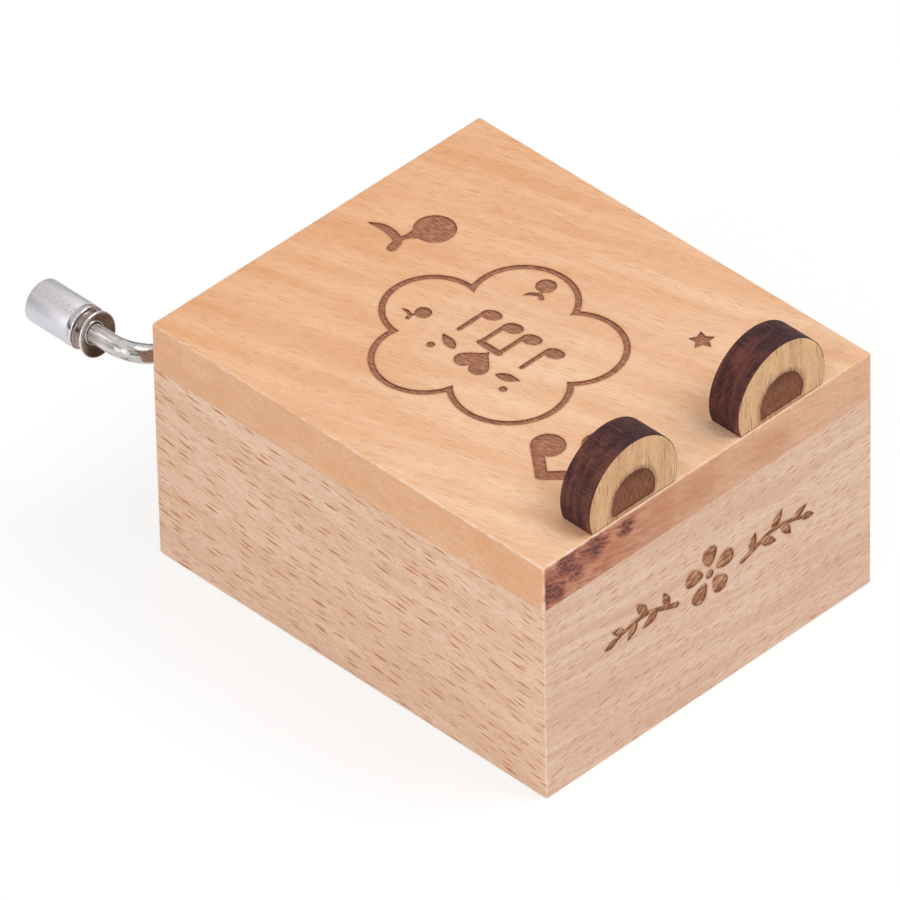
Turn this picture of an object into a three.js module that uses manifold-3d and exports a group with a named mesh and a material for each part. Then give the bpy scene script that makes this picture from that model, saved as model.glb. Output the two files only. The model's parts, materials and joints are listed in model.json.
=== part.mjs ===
// Hand crank music box: a small mitred wooden box on which two half-round ears are glued, with an
// eighteen-note pinned-cylinder movement screwed inside it and a bent wire crank at the back.
// Millimetres, +Z up. The origin is under the middle of the box, on the face that it stands on.
// The front, with the ears, looks towards -Y; the crank comes out of the back, towards +Y.
import * as THREE from "three";
import { mergeVertices } from "three/addons/utils/BufferGeometryUtils.js";
import Module from "manifold-3d";

const wasm = await Module();
wasm.setup();

// Driving dimensions

// Pinned cylinder and its eighteen notes
const noteCount = 18;
const cylinderRadius = 6.5;
const sleeveWall = 0.6;
const sleeveMargin = 0.28;
const endCapThickness = 1.5;
const pinRadius = 0.18;
const pinHeight = 0.8;
const beatCount = 56;
const sweepCount = 3;

// Arbor that carries the cylinder, and the worm gear that drives it
const arborRadius = 1;
const gearModule = 0.5;
const wheelTeeth = 20;
const wheelWidth = 2.4;
const wheelToCylinder = 1.55;
const wheelHubRadius = 2.4;
const wheelHubLength = 1.2;
const wormPitchRadius = 1.8;
const wormLength = 7;
const toothHeightShare = 0.8;
const rootClearanceShare = 0.4;
const wheelTipHalfShare = 0.24;
const wheelRootHalfShare = 0.82;
const threadTipHalfShare = 0.3;
const threadRootHalfShare = 0.8;
const journalRadius = 1;
const collarRadius = 1.7;
const collarWidth = 0.7;
const socketWall = 1.1;
const socketLength = 6;
const socketDepth = 5;

// Comb of tuned steel teeth
const combThickness = 1;
const combBase = 7;
const combSideMargin = 0.6;
const toothWidthShare = 0.7;
const bassToothLength = 13;
const trebleToothLength = 9;
const weightedTeeth = 8;
const weightDrop = 1.4;
const weightLength = 3;
const weightFromTip = 2;
const combScrewInset = 4.32;
const combScrewBite = 2.2;

// Bedplate and its two bearing brackets
const bedplateThickness = 2.5;
const bedplateLeftMargin = 4.15;
const bedplateRightMargin = 0.5;
const bedplateFrontMargin = 0.4;
const windowHalfLength = 5;
const windowMargin = 0.4;
const cylinderOverBed = 0.2;
const bracketThickness = 1.5;
const bracketFoot = 4.2;
const gearBracketRise = 3;
const lugReach = 2.35;
const lugToWheel = 0.875;
const cylinderBracketWidth = 10;
const cylinderBracketRise = 4;
const cylinderBracketGap = 0.8;
const bracketScrewSpacing = 6;
const movementScrewRadius = 1;
const movementScrewHead = 2;
const movementScrewTip = 0.25;
const frontScrewInset = 3.2;
const backScrewInset = 2.2;

// Small machine screws of the movement
const machineScrewRadius = 0.95;
const machineHeadRadius = 1.6;
const machineHeadHeight = 1.1;
const screwTipRoom = 0.5;
const slotWidth = 0.45;
const slotDepth = 0.5;
const recessShare = 0.55;

// Box of boards, mitred at the corners, with room on every side of the movement
const boxWidth = 54;
const wallThickness = 6;
const sideRoom = 2;
const frontRoom = 6;
const backRoom = 5.925;
const headRoom = 5.4;
const cornerRadius = 0.8;
const lidThickness = 6.4;
const lidEdgeRound = 0.5;

// Bottom panel, let into a rabbet round the foot of the walls
const panelThickness = 3;
const panelBearing = 4;
const panelGap = 0.3;
const panelScrewFromCorner = 11;
const panelScrewFromWall = 1.6;
const panelScrewBite = 6.2;
const panelScrewRadius = 0.8;
const panelScrewHead = 1.5;
const panelScrewTip = 1.6;

// Ears, discs of board cut flat where they are glued to the lid
const earRadius = 7.2;
const earThickness = 4.7;
const earCentreAboveLid = 2.6;
const earInset = 7.65;
const earSetback = 0.2;

// Crank, a bent rod with a loose spool-shaped knob crimped on its end
const rodRadius = 1.22;
const rodBendRadius = 3.8;
const crankThrow = 15.76;
const crankRestAngle = THREE.MathUtils.degToRad(22.3);
const armStandoff = 5;
const crankHoleRoom = 0.75;
const spigotStep = 0.42;
const spigotLength = 4.6;
const knobStandoff = 5.9;
const knobLength = 9.6;
const knobRadius = 2.85;
const knobEndWall = 1.8;
const knobEndChamfer = 0.25;
const knobFlange = 0.75;
const knobGrooveWidth = 1.3;
const knobGrooveDepth = 0.5;
const countersinkDepth = 0.7;
const rodNeckDepth = 0.45;
const rodNeckWidth = 0.9;
const crimpWidth = 0.4;
const crimpClearance = 0.15;

// Clearances, and how far cutters run past what they cut
const fitClearance = 0.05;
const runningClearance = 0.08;
const shakeClearance = 0.2;
const pinToComb = 0.3;
const screwSink = 0.2;
const overrun = 1;

// Facets round turned pieces, and steps along bent and twisted ones
const fineSides = 40;
const turnedSides = 24;
const smallSides = 12;
const pinSides = 5;
const cornerSteps = 3;
const rodSides = 16;
const rodSteps = 44;
const threadStepsPerTurn = 10;
const rootSteps = 5;

// Sizes and places that follow from these, first across the box, whose width sets the cylinder's length
const halfWidth = boxWidth / 2;
const bedplateWidth = boxWidth - 2 * (wallThickness + sideRoom);
const sidePlateX = -bedplateWidth / 2 + bedplateLeftMargin;
const hubLeft = sidePlateX + bracketThickness + shakeClearance;
const cylinderLeft = hubLeft + wheelHubLength + wheelWidth + wheelToCylinder;
const cylinderToBracketEnd = cylinderBracketGap + bracketThickness + bracketFoot;
const cylinderRight = bedplateWidth / 2 - bedplateRightMargin - cylinderToBracketEnd;
const cylinderMiddleX = (cylinderLeft + cylinderRight) / 2;
const notePitch = (cylinderRight - cylinderLeft - 2 * sleeveMargin) / noteCount;
const shaftX = hubLeft + wheelHubLength + wheelWidth / 2;
const cylinderBracketX = cylinderRight + cylinderBracketGap;

// Then from front to back
const pinCircle = cylinderRadius + pinHeight;
const wheelPitchRadius = (gearModule * wheelTeeth) / 2;
const lugInner = wheelPitchRadius + gearModule + lugToWheel;
const lugOuter = lugInner + bracketThickness;
const combToAxis = pinToComb + pinCircle;
const frontOfAxis = bedplateFrontMargin + combBase + bassToothLength + combToAxis;
const backOfAxis = lugOuter + bracketFoot;
const halfLength = (frontRoom + frontOfAxis + backOfAxis + backRoom) / 2 + wallThickness;
const cylinderAxisY = -halfLength + wallThickness + frontRoom + frontOfAxis;
const bedplateFront = cylinderAxisY - frontOfAxis;
const bedplateBack = cylinderAxisY + backOfAxis;
const combTipY = cylinderAxisY - combToAxis;
const combBackY = combTipY - bassToothLength;
const combFrontY = combBackY - combBase;
const combScrewY = combBackY - combBase / 2;
const socketStartY = cylinderAxisY + lugOuter + shakeClearance;
const socketEndY = socketStartY + socketLength;
const armY = halfLength + armStandoff;
const knobStartY = armY + knobStandoff;

// Then upwards
const bedTop = panelThickness + bedplateThickness;
const cylinderAxisHeight = bedTop + cylinderOverBed + pinCircle;
const shaftHeight = cylinderAxisHeight + wheelPitchRadius + wormPitchRadius;
const wallHeight = shaftHeight + gearBracketRise + headRoom;
const lidTop = wallHeight + lidThickness;
const combBottom = cylinderAxisHeight - combThickness / 2;
const combTop = combBottom + combThickness;
const knobX = shaftX - crankThrow * Math.cos(crankRestAngle);
const knobHeight = shaftHeight + crankThrow * Math.sin(crankRestAngle);

// And the sizes of what fits into something else
const combWidth = noteCount * notePitch + 2 * combSideMargin;
const toothWidth = toothWidthShare * notePitch;
const lead = Math.PI * gearModule;
const toothHeight = toothHeightShare * gearModule;
const rootDepth = toothHeight + rootClearanceShare * gearModule;
const spigotRadius = rodRadius - spigotStep;
const socketRadius = spigotRadius + fitClearance + socketWall;
const rodNeckRadius = rodRadius - rodNeckDepth;
const crimpRadius = rodNeckRadius + crimpClearance;
const knobBoreDepth = knobLength - knobEndWall;
const panelScrewLength = panelThickness - screwSink + panelScrewBite;
const bracketScrewBite = bedplateThickness - screwTipRoom;

// Finishes
const finish = (color, roughness, metalness) => (
  new THREE.MeshStandardMaterial({ color, roughness, metalness, flatShading: true })
);
const beech = finish(0xe4b890, 0.6, 0);
const earWood = finish(0xe0c08e, 0.65, 0);
const panelWood = finish(0xd9b283, 0.75, 0);
const nickel = finish(0xc9c5c0, 0.18, 1);
const turnedMetal = finish(0xc4c2c4, 0.38, 1);
const brass = finish(0xd0a858, 0.3, 1);
const steel = finish(0xb4b6ba, 0.32, 1);
const casting = finish(0x9a9ca0, 0.5, 0.9);

// A closed mesh as a solid that can be cut and joined; a mesh whose faces point inwards is turned out
function solidOf(geometry) {
  const plain = geometry.clone();
  plain.deleteAttribute("normal");
  plain.deleteAttribute("uv");
  const welded = mergeVertices(plain);
  const vertProperties = new Float32Array(welded.attributes.position.array);
  const asSolid = (triVerts) => new wasm.Manifold(new wasm.Mesh({ numProp: 3, vertProperties, triVerts }));
  const faces = new Uint32Array(welded.index.array);
  const solid = asSolid(faces);
  return solid.volume() > 0 ? solid : asSolid(faces.toReversed());
}

function meshOf(name, solid, material) {
  const result = solid.getMesh();
  const geometry = new THREE.BufferGeometry();
  geometry.setAttribute("position", new THREE.BufferAttribute(new Float32Array(result.vertProperties), 3));
  geometry.setIndex(new THREE.BufferAttribute(new Uint32Array(result.triVerts), 1));
  geometry.computeVertexNormals();
  const mesh = new THREE.Mesh(geometry, material);
  mesh.name = name;
  return mesh;
}

const joined = (solids) => solids.reduce((all, solid) => all.add(solid));
const cutFrom = (solid, cutters) => cutters.reduce((left, cutter) => left.subtract(cutter), solid);

// A block between two corners
function block(low, high) {
  const size = high.map((value, i) => value - low[i]);
  const geometry = new THREE.BoxGeometry(...size);
  geometry.translate(...high.map((value, i) => (value + low[i]) / 2));
  return solidOf(geometry);
}

// Turns a shape made about Y or Z to the axis it is wanted on
const aboutX = (geometry) => geometry.rotateZ(-Math.PI / 2);
const aboutY = (geometry) => geometry;
const aboutZ = (geometry) => geometry.rotateX(Math.PI / 2);

// A turned piece from its profile of [radius, place along the axis] points
function turned(profile, toAxis, place, sides = turnedSides) {
  const points = profile.map(([radius, along]) => new THREE.Vector2(radius, along));
  const geometry = toAxis(new THREE.LatheGeometry(points, sides));
  geometry.translate(...place);
  return solidOf(geometry);
}

const rodProfile = (radius, from, to) => [[0, from], [radius, from], [radius, to], [0, to]];

// A cutter for a round hole whose flats, not its corners, lie at the radius
function hole(radius, from, to, toAxis, place, sides = turnedSides) {
  return turned(rodProfile(radius / Math.cos(Math.PI / sides), from, to), toAxis, place, sides);
}

function extruded(shape, depth, steps = 1) {
  const curveSegments = fineSides / 2;
  return new THREE.ExtrudeGeometry(shape, { depth, steps, bevelEnabled: false, curveSegments });
}

// Turns each point about Z in proportion to its height, which makes screw threads and slanted teeth
function twisted(geometry, turnPerLength) {
  const position = geometry.attributes.position;
  const point = new THREE.Vector3();
  const axis = new THREE.Vector3(0, 0, 1);
  for (let i = 0; i < position.count; i += 1) {
    point.fromBufferAttribute(position, i).applyAxisAngle(axis, turnPerLength * position.getZ(i));
    position.setXYZ(i, point.x, point.y, point.z);
  }
  return geometry;
}

// Wooden box

// One wall board, outer face on y = 0 and inner face towards +Y, with mitred ends that are rounded at the
// box's corner, and the rabbet for the bottom panel along its foot
function wallBoard(half) {
  const onMitre = cornerRadius * (1 - Math.SQRT1_2);
  const plan = new THREE.Shape();
  plan.moveTo(half - wallThickness, wallThickness);
  plan.lineTo(-half + wallThickness, wallThickness);
  plan.lineTo(-half + onMitre, onMitre);
  const frontwards = -Math.PI / 2;
  const eighthTurn = Math.PI / 4;
  plan.absarc(-half + cornerRadius, cornerRadius, cornerRadius, frontwards - eighthTurn, frontwards, false);
  plan.absarc(half - cornerRadius, cornerRadius, cornerRadius, frontwards, frontwards + eighthTurn, false);
  const board = new THREE.ExtrudeGeometry(plan, {
    depth: wallHeight, bevelEnabled: false, curveSegments: cornerSteps,
  });
  const rabbet = block(
    [-half, wallThickness - panelBearing, -overrun],
    [half, wallThickness + overrun, panelThickness],
  );
  return solidOf(board).subtract(rabbet);
}

const panelScrewX = halfWidth - wallThickness + panelScrewFromWall;
const panelScrewY = halfLength - panelScrewFromCorner;
const corners = [[-1, -1], [1, -1], [-1, 1], [1, 1]];
const panelScrewPlaces = corners.map(([sideX, sideY]) => [sideX * panelScrewX, sideY * panelScrewY]);

function placed(mesh, x, y, z, turn = 0) {
  mesh.position.set(x, y, z);
  mesh.rotation.z = turn;
  return mesh;
}

function walls() {
  const crankHole = hole(
    rodRadius + crankHoleRoom, -overrun, wallThickness + overrun,
    aboutY, [-shaftX, 0, shaftHeight],
  );
  const pilot = (along) => hole(
    panelScrewRadius + fitClearance, panelThickness - overrun, panelScrewLength + overrun,
    aboutZ, [along, wallThickness - panelScrewFromWall, 0], smallSides,
  );
  const short = wallBoard(halfWidth);
  const long = cutFrom(wallBoard(halfLength), [pilot(-panelScrewY), pilot(panelScrewY)]);
  return [
    placed(meshOf("front_wall", short, beech), 0, -halfLength, 0),
    placed(meshOf("back_wall", short.subtract(crankHole), beech), 0, halfLength, 0, Math.PI),
    placed(meshOf("left_wall", long, beech), -halfWidth, 0, 0, -Math.PI / 2),
    placed(meshOf("right_wall", long, beech), halfWidth, 0, 0, Math.PI / 2),
  ];
}

// The lid board lies flat on the walls; its edges are eased all round
function lid() {
  const w = halfWidth - lidEdgeRound;
  const l = halfLength - lidEdgeRound;
  const r = cornerRadius - lidEdgeRound;
  const plan = new THREE.Shape();
  plan.absarc(w - r, -l + r, r, -Math.PI / 2, 0, false);
  plan.absarc(w - r, l - r, r, 0, Math.PI / 2, false);
  plan.absarc(-w + r, l - r, r, Math.PI / 2, Math.PI, false);
  plan.absarc(-w + r, -l + r, r, -Math.PI, -Math.PI / 2, false);
  const board = new THREE.ExtrudeGeometry(plan, {
    depth: lidThickness - 2 * lidEdgeRound,
    curveSegments: cornerSteps,
    bevelThickness: lidEdgeRound,
    bevelSize: lidEdgeRound,
    bevelSegments: cornerSteps,
  });
  board.translate(0, 0, lidEdgeRound);
  return placed(meshOf("lid", solidOf(board), beech), 0, 0, wallHeight);
}

// An ear is a disc cut flat below its centre, standing on the lid along its front edge, near its corner
function ear(name, side) {
  const half = Math.asin(earCentreAboveLid / earRadius);
  const face = new THREE.Shape();
  face.absarc(0, earCentreAboveLid, earRadius, -half, Math.PI + half, false);
  const disc = extruded(face, earThickness).rotateX(Math.PI / 2);
  disc.translate(0, earThickness, 0);
  const middle = halfWidth - earInset - earRadius;
  return placed(meshOf(name, solidOf(disc), earWood), side * middle, -halfLength + earSetback, lidTop);
}

// Countersunk screw, head flush with z = 0 and shank upwards, with a crossed recess in its head
function countersunkScrew(headRadius, shankRadius, length, tipLength) {
  const headHeight = headRadius - shankRadius;
  const shank = turned([
    [0, 0], [headRadius, 0], [shankRadius, headHeight], [shankRadius, length - tipLength],
    [shankRadius / 2, length], [0, length],
  ], aboutZ, [0, 0, 0], smallSides);
  const arm = headRadius * recessShare;
  const recess = [
    block([-arm, -slotWidth / 2, -overrun], [arm, slotWidth / 2, slotDepth]),
    block([-slotWidth / 2, -arm, -overrun], [slotWidth / 2, arm, slotDepth]),
  ];
  return cutFrom(shank, recess);
}

// The hole that takes such a screw, with its countersink
function countersunkHole(headRadius, shankRadius, depth, x, y) {
  const head = headRadius + fitClearance;
  const shank = shankRadius + fitClearance;
  const wide = 1 / Math.cos(Math.PI / smallSides);
  return turned([
    [0, -overrun], [head * wide, -overrun], [head * wide, 0], [shank * wide, head - shank],
    [shank * wide, depth + overrun], [0, depth + overrun],
  ], aboutZ, [x, y, 0], smallSides);
}

// Screw with a slotted cheese head that sits on z = 0, shank downwards
function machineScrew(x, y, z, grip) {
  const screw = turned([
    [0, -grip], [machineScrewRadius, -grip], [machineScrewRadius, 0], [machineHeadRadius, 0],
    [machineHeadRadius, machineHeadHeight], [0, machineHeadHeight],
  ], aboutZ, [0, 0, 0], smallSides);
  const slot = block(
    [-machineHeadRadius - overrun, -slotWidth / 2, machineHeadHeight - slotDepth],
    [machineHeadRadius + overrun, slotWidth / 2, machineHeadHeight + overrun],
  );
  return screw.subtract(slot).translate([x, y, z]);
}

// The tapped hole for such a screw, downwards from z
function tappedHole(x, y, z, depth) {
  return hole(machineScrewRadius + fitClearance, -depth, overrun, aboutZ, [x, y, z], smallSides);
}

// Bottom panel

const movementScrewPlaces = [
  [-bedplateWidth / 2 + frontScrewInset, bedplateFront + frontScrewInset],
  [bedplateWidth / 2 - frontScrewInset, bedplateFront + frontScrewInset],
  [cylinderMiddleX, bedplateBack - backScrewInset],
];
const movementScrewLength = panelThickness + bedplateThickness - 2 * screwSink;

function bottomPanel() {
  const reachX = halfWidth - wallThickness + panelBearing - panelGap;
  const reachY = halfLength - wallThickness + panelBearing - panelGap;
  const panel = block([-reachX, -reachY, 0], [reachX, reachY, panelThickness]);
  const screwHole = (head, shank) => ([x, y]) => countersunkHole(head, shank, panelThickness, x, y);
  const cutters = [
    ...panelScrewPlaces.map(screwHole(panelScrewHead, panelScrewRadius)),
    ...movementScrewPlaces.map(screwHole(movementScrewHead, movementScrewRadius)),
  ].map((cutter) => cutter.translate([0, 0, screwSink]));
  return meshOf("bottom_panel", cutFrom(panel, cutters), panelWood);
}

function screwsFromBelow(name, places, screw) {
  return places.map(([x, y], i) => placed(meshOf(`${name}_${i + 1}`, screw, steel), x, y, screwSink));
}

// Bedplate and bearing brackets

const sides = [-1, 1];
const combScrewReach = combWidth / 2 - combScrewInset;
const combScrewPlaces = sides.map((side) => [cylinderMiddleX + side * combScrewReach, combScrewY]);
const footMiddle = lugOuter + bracketFoot / 2;
const gearScrewX = (sidePlateX + shaftX + lugReach) / 2;
const gearScrewPlaces = sides.map((side) => [gearScrewX, cylinderAxisY + side * footMiddle]);
const cylinderScrewX = cylinderBracketX + bracketThickness + bracketFoot / 2;
const cylinderScrewPlaces = sides.map((side) => (
  [cylinderScrewX, cylinderAxisY + (side * bracketScrewSpacing) / 2]
));
const footTop = bedTop + bracketThickness;

// A cast plate with a block that the comb is screwed down on, and a window under the cylinder
function bedplate() {
  const plate = block(
    [-bedplateWidth / 2, bedplateFront, panelThickness],
    [bedplateWidth / 2, bedplateBack, bedTop],
  );
  const seat = block(
    [cylinderMiddleX - combWidth / 2, combFrontY, panelThickness],
    [cylinderMiddleX + combWidth / 2, combBackY, combBottom],
  );
  const window = block(
    [cylinderLeft + windowMargin, cylinderAxisY - windowHalfLength, panelThickness - overrun],
    [cylinderRight - windowMargin, cylinderAxisY + windowHalfLength, bedTop + overrun],
  );
  const bracketScrewHoles = [...gearScrewPlaces, ...cylinderScrewPlaces].map(([x, y]) => (
    tappedHole(x, y, bedTop, bracketScrewBite + screwTipRoom / 2)
  ));
  const combScrewHoles = combScrewPlaces.map(([x, y]) => (
    tappedHole(x, y, combBottom, combScrewBite + screwTipRoom)
  ));
  const mountingHoles = movementScrewPlaces.map(([x, y]) => hole(
    movementScrewRadius + fitClearance, panelThickness - overrun, bedTop + overrun,
    aboutZ, [x, y, 0], smallSides,
  ));
  const cutters = [window, ...bracketScrewHoles, ...combScrewHoles, ...mountingHoles];
  return meshOf("bedplate", cutFrom(plate.add(seat), cutters), casting);
}

// A bracket bent to a C in plan: two lugs carry the worm shaft, and the plate between them the arbor's end
function gearBracket() {
  const top = shaftHeight + gearBracketRise;
  const right = shaftX + lugReach;
  const sidePlate = block(
    [sidePlateX, cylinderAxisY - lugOuter, bedTop],
    [sidePlateX + bracketThickness, cylinderAxisY + lugOuter, top],
  );
  const lugsAndFeet = sides.flatMap((side) => {
    const near = cylinderAxisY + side * lugInner;
    const far = cylinderAxisY + side * lugOuter;
    const toe = far + side * bracketFoot;
    return [
      block([sidePlateX, Math.min(near, far), bedTop], [right, Math.max(near, far), top]),
      block([sidePlateX, Math.min(near, toe), bedTop], [right, Math.max(near, toe), footTop]),
    ];
  });
  const shaftHole = hole(
    journalRadius + runningClearance, -lugOuter - overrun, lugOuter + overrun,
    aboutY, [shaftX, cylinderAxisY, shaftHeight],
  );
  const arborHole = hole(
    arborRadius + runningClearance, -overrun, bracketThickness + overrun,
    aboutX, [sidePlateX, cylinderAxisY, cylinderAxisHeight],
  );
  const screwHoles = gearScrewPlaces.map(([x, y]) => tappedHole(x, y, footTop, bracketThickness + overrun));
  const bracket = joined([sidePlate, ...lugsAndFeet]);
  return meshOf("gear_bracket", cutFrom(bracket, [shaftHole, arborHole, ...screwHoles]), steel);
}

// An angle bracket for the arbor's other end
function cylinderBracket() {
  const back = cylinderAxisY + cylinderBracketWidth / 2;
  const front = cylinderAxisY - cylinderBracketWidth / 2;
  const outer = cylinderBracketX + bracketThickness;
  const top = cylinderAxisHeight + cylinderBracketRise;
  const upright = block([cylinderBracketX, front, bedTop], [outer, back, top]);
  const foot = block([cylinderBracketX, front, bedTop], [outer + bracketFoot, back, footTop]);
  const arborHole = hole(
    arborRadius + runningClearance, -overrun, bracketThickness + overrun,
    aboutX, [cylinderBracketX, cylinderAxisY, cylinderAxisHeight],
  );
  const screwHoles = cylinderScrewPlaces.map(([x, y]) => (
    tappedHole(x, y, footTop, bracketThickness + overrun)
  ));
  return meshOf("cylinder_bracket", cutFrom(upright.add(foot), [arborHole, ...screwHoles]), steel);
}

function screwsFromAbove(name, places, z, grip) {
  return places.map(([x, y], i) => meshOf(`${name}_${i + 1}`, machineScrew(x, y, z, grip), steel));
}

// Comb

// Eighteen teeth cut in one steel plate, longest in the bass, where blobs of lead under the tips tune them
const toothX = (note) => cylinderMiddleX + (note - (noteCount - 1) / 2) * notePitch;

function comb() {
  const toothLength = (note) => (
    THREE.MathUtils.lerp(bassToothLength, trebleToothLength, note / (noteCount - 1))
  );
  const plan = new THREE.Shape();
  plan.moveTo(cylinderMiddleX - combWidth / 2, combFrontY);
  plan.lineTo(cylinderMiddleX + combWidth / 2, combFrontY);
  plan.lineTo(cylinderMiddleX + combWidth / 2, combTipY - trebleToothLength);
  for (let note = noteCount - 1; note >= 0; note -= 1) {
    const root = combTipY - toothLength(note);
    plan.lineTo(toothX(note) + toothWidth / 2, root);
    plan.lineTo(toothX(note) + toothWidth / 2, combTipY);
    plan.lineTo(toothX(note) - toothWidth / 2, combTipY);
    plan.lineTo(toothX(note) - toothWidth / 2, root);
  }
  plan.lineTo(cylinderMiddleX - combWidth / 2, combBackY);
  const plate = extruded(plan, combThickness).translate(0, 0, combBottom);
  const weights = Array.from({ length: weightedTeeth }, (_, note) => block(
    [toothX(note) - toothWidth / 2, combTipY - weightFromTip - weightLength, combBottom - weightDrop],
    [toothX(note) + toothWidth / 2, combTipY - weightFromTip, combBottom + combThickness / 2],
  ));
  const screwHoles = combScrewPlaces.map(([x, y]) => (
    tappedHole(x, y, combTop, combThickness + overrun)
  ));
  return meshOf("comb", cutFrom(joined([solidOf(plate), ...weights]), screwHoles), steel);
}

// Pinned cylinder

// The tune climbs and falls across the notes in three sweeps, one pin to a beat
function pins() {
  const root = cylinderRadius - sleeveWall / 2;
  return Array.from({ length: beatCount }, (_, beat) => {
    const turn = (beat / beatCount) * 2 * Math.PI;
    const swing = Math.sin(sweepCount * turn + turn / 2);
    const note = Math.round(((noteCount - 1) / 2) * (1 + swing));
    const pin = new THREE.CylinderGeometry(pinRadius, pinRadius, pinCircle - root, pinSides);
    pin.translate(0, (pinCircle + root) / 2, 0);
    pin.rotateX(turn);
    pin.translate(toothX(note), cylinderAxisY, cylinderAxisHeight);
    return solidOf(pin);
  });
}

const onArbor = [0, cylinderAxisY, cylinderAxisHeight];

function pinnedSleeve() {
  const inner = cylinderRadius - sleeveWall;
  const tube = turned([
    [inner, cylinderLeft], [cylinderRadius, cylinderLeft],
    [cylinderRadius, cylinderRight], [inner, cylinderRight], [inner, cylinderLeft],
  ], aboutX, onArbor, fineSides);
  return meshOf("pinned_cylinder", joined([tube, ...pins()]), brass);
}

// A disc pressed into the cylinder's end, round the arbor
function endCap(name, from) {
  const to = from + endCapThickness;
  const rim = cylinderRadius - sleeveWall - fitClearance;
  const disc = turned(rodProfile(rim, from, to), aboutX, onArbor, fineSides);
  const bore = hole(arborRadius + fitClearance, from - overrun, to + overrun, aboutX, onArbor);
  return meshOf(name, disc.subtract(bore), brass);
}

function arbor() {
  const from = sidePlateX - shakeClearance;
  const to = cylinderBracketX + bracketThickness + shakeClearance;
  return meshOf("cylinder_arbor", turned(rodProfile(arborRadius, from, to), aboutX, onArbor), steel);
}

// Worm gear

const pointAt = (radius, turn) => new THREE.Vector2(radius * Math.cos(turn), radius * Math.sin(turn));

// The worm wheel's teeth slant by the worm's lead angle; a gap, not a tooth, points straight up at the worm
function wormWheel() {
  const tip = wheelPitchRadius + toothHeight;
  const root = wheelPitchRadius - rootDepth;
  const tipHalf = (wheelTipHalfShare * gearModule) / tip;
  const rootHalf = (wheelRootHalfShare * gearModule) / root;
  const toothCorners = [[root, -rootHalf], [tip, -tipHalf], [tip, tipHalf], [root, rootHalf]];
  const halfPitch = Math.PI / wheelTeeth;
  const outline = new THREE.Shape(Array.from({ length: wheelTeeth }, (_, tooth) => tooth).flatMap((tooth) => (
    toothCorners.map(([radius, turn]) => pointAt(radius, (2 * tooth + 1) * halfPitch + turn))
  )));
  const leadAngle = Math.atan(lead / (2 * Math.PI * wormPitchRadius));
  const rim = extruded(outline, wheelWidth, 2).translate(0, 0, -wheelWidth / 2);
  const toothed = twisted(rim, Math.tan(leadAngle) / wheelPitchRadius).rotateY(Math.PI / 2);
  toothed.translate(shaftX, cylinderAxisY, cylinderAxisHeight);
  const hubRight = cylinderLeft - shakeClearance;
  const hub = turned(rodProfile(wheelHubRadius, hubLeft, hubRight), aboutX, onArbor);
  const bore = hole(arborRadius + fitClearance, hubLeft - overrun, hubRight + overrun, aboutX, onArbor);
  return meshOf("worm_wheel", solidOf(toothed).add(hub).subtract(bore), brass);
}

// The single thread as its cross-section, swept along the shaft with one turn to each lead; its crest
// faces the wheel at the middle of the worm
function wormThread() {
  const tip = wormPitchRadius + toothHeight;
  const root = wormPitchRadius - rootDepth;
  const perLength = (2 * Math.PI) / lead;
  const tipTurn = threadTipHalfShare * gearModule * perLength;
  const rootTurn = threadRootHalfShare * gearModule * perLength;
  const crest = [-tipTurn, -tipTurn / 2, 0, tipTurn / 2, tipTurn].map((turn) => pointAt(tip, turn));
  const rootArc = Array.from({ length: rootSteps + 1 }, (_, step) => (
    pointAt(root, THREE.MathUtils.lerp(rootTurn, 2 * Math.PI - rootTurn, step / rootSteps))
  ));
  const flank = (side) => pointAt((tip + root) / 2, (side * (tipTurn + rootTurn)) / 2);
  const section = new THREE.Shape([...crest, flank(1), ...rootArc, flank(-1)]);
  const steps = Math.round((wormLength / lead) * threadStepsPerTurn);
  const swept = extruded(section, wormLength, steps).translate(0, 0, -wormLength / 2);
  const thread = twisted(swept, perLength).rotateZ(Math.PI / 2).rotateX(-Math.PI / 2);
  return solidOf(thread.translate(shaftX, cylinderAxisY, shaftHeight));
}

// Worm, its two journals with collars inside the lugs, and the tapped socket that the crank screws into
function wormShaft() {
  const place = [shaftX, cylinderAxisY, shaftHeight];
  const reach = lugOuter + shakeClearance;
  const journals = turned(rodProfile(journalRadius, -reach, reach + overrun / 2), aboutY, place);
  const collarTo = lugInner - shakeClearance;
  const collars = [-collarTo, collarTo - collarWidth].map((from) => (
    turned(rodProfile(collarRadius, from, from + collarWidth), aboutY, place)
  ));
  const onAxis = [shaftX, 0, shaftHeight];
  const socket = turned(rodProfile(socketRadius, socketStartY, socketEndY), aboutY, onAxis);
  const boreRadius = spigotRadius + fitClearance;
  const bore = hole(boreRadius, socketEndY - socketDepth, socketEndY + overrun, aboutY, onAxis);
  return meshOf("worm_shaft", joined([wormThread(), journals, ...collars, socket]).subtract(bore), steel);
}

// Crank

// A quarter bend between two straight stretches at right angles
class Bend extends THREE.Curve {
  constructor(corner, arriving, leaving, radius) {
    super();
    Object.assign(this, { arriving, leaving, radius });
    this.centre = corner.clone().addScaledVector(arriving, -radius).addScaledVector(leaving, radius);
  }

  getPoint(t, target = new THREE.Vector3()) {
    const turn = (t * Math.PI) / 2;
    return target.copy(this.centre)
      .addScaledVector(this.leaving, -this.radius * Math.cos(turn))
      .addScaledVector(this.arriving, this.radius * Math.sin(turn));
  }
}

const rodEndY = knobStartY + knobBoreDepth - shakeClearance * 2;
const neckMiddle = knobStartY + knobFlange + knobGrooveWidth / 2;

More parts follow.
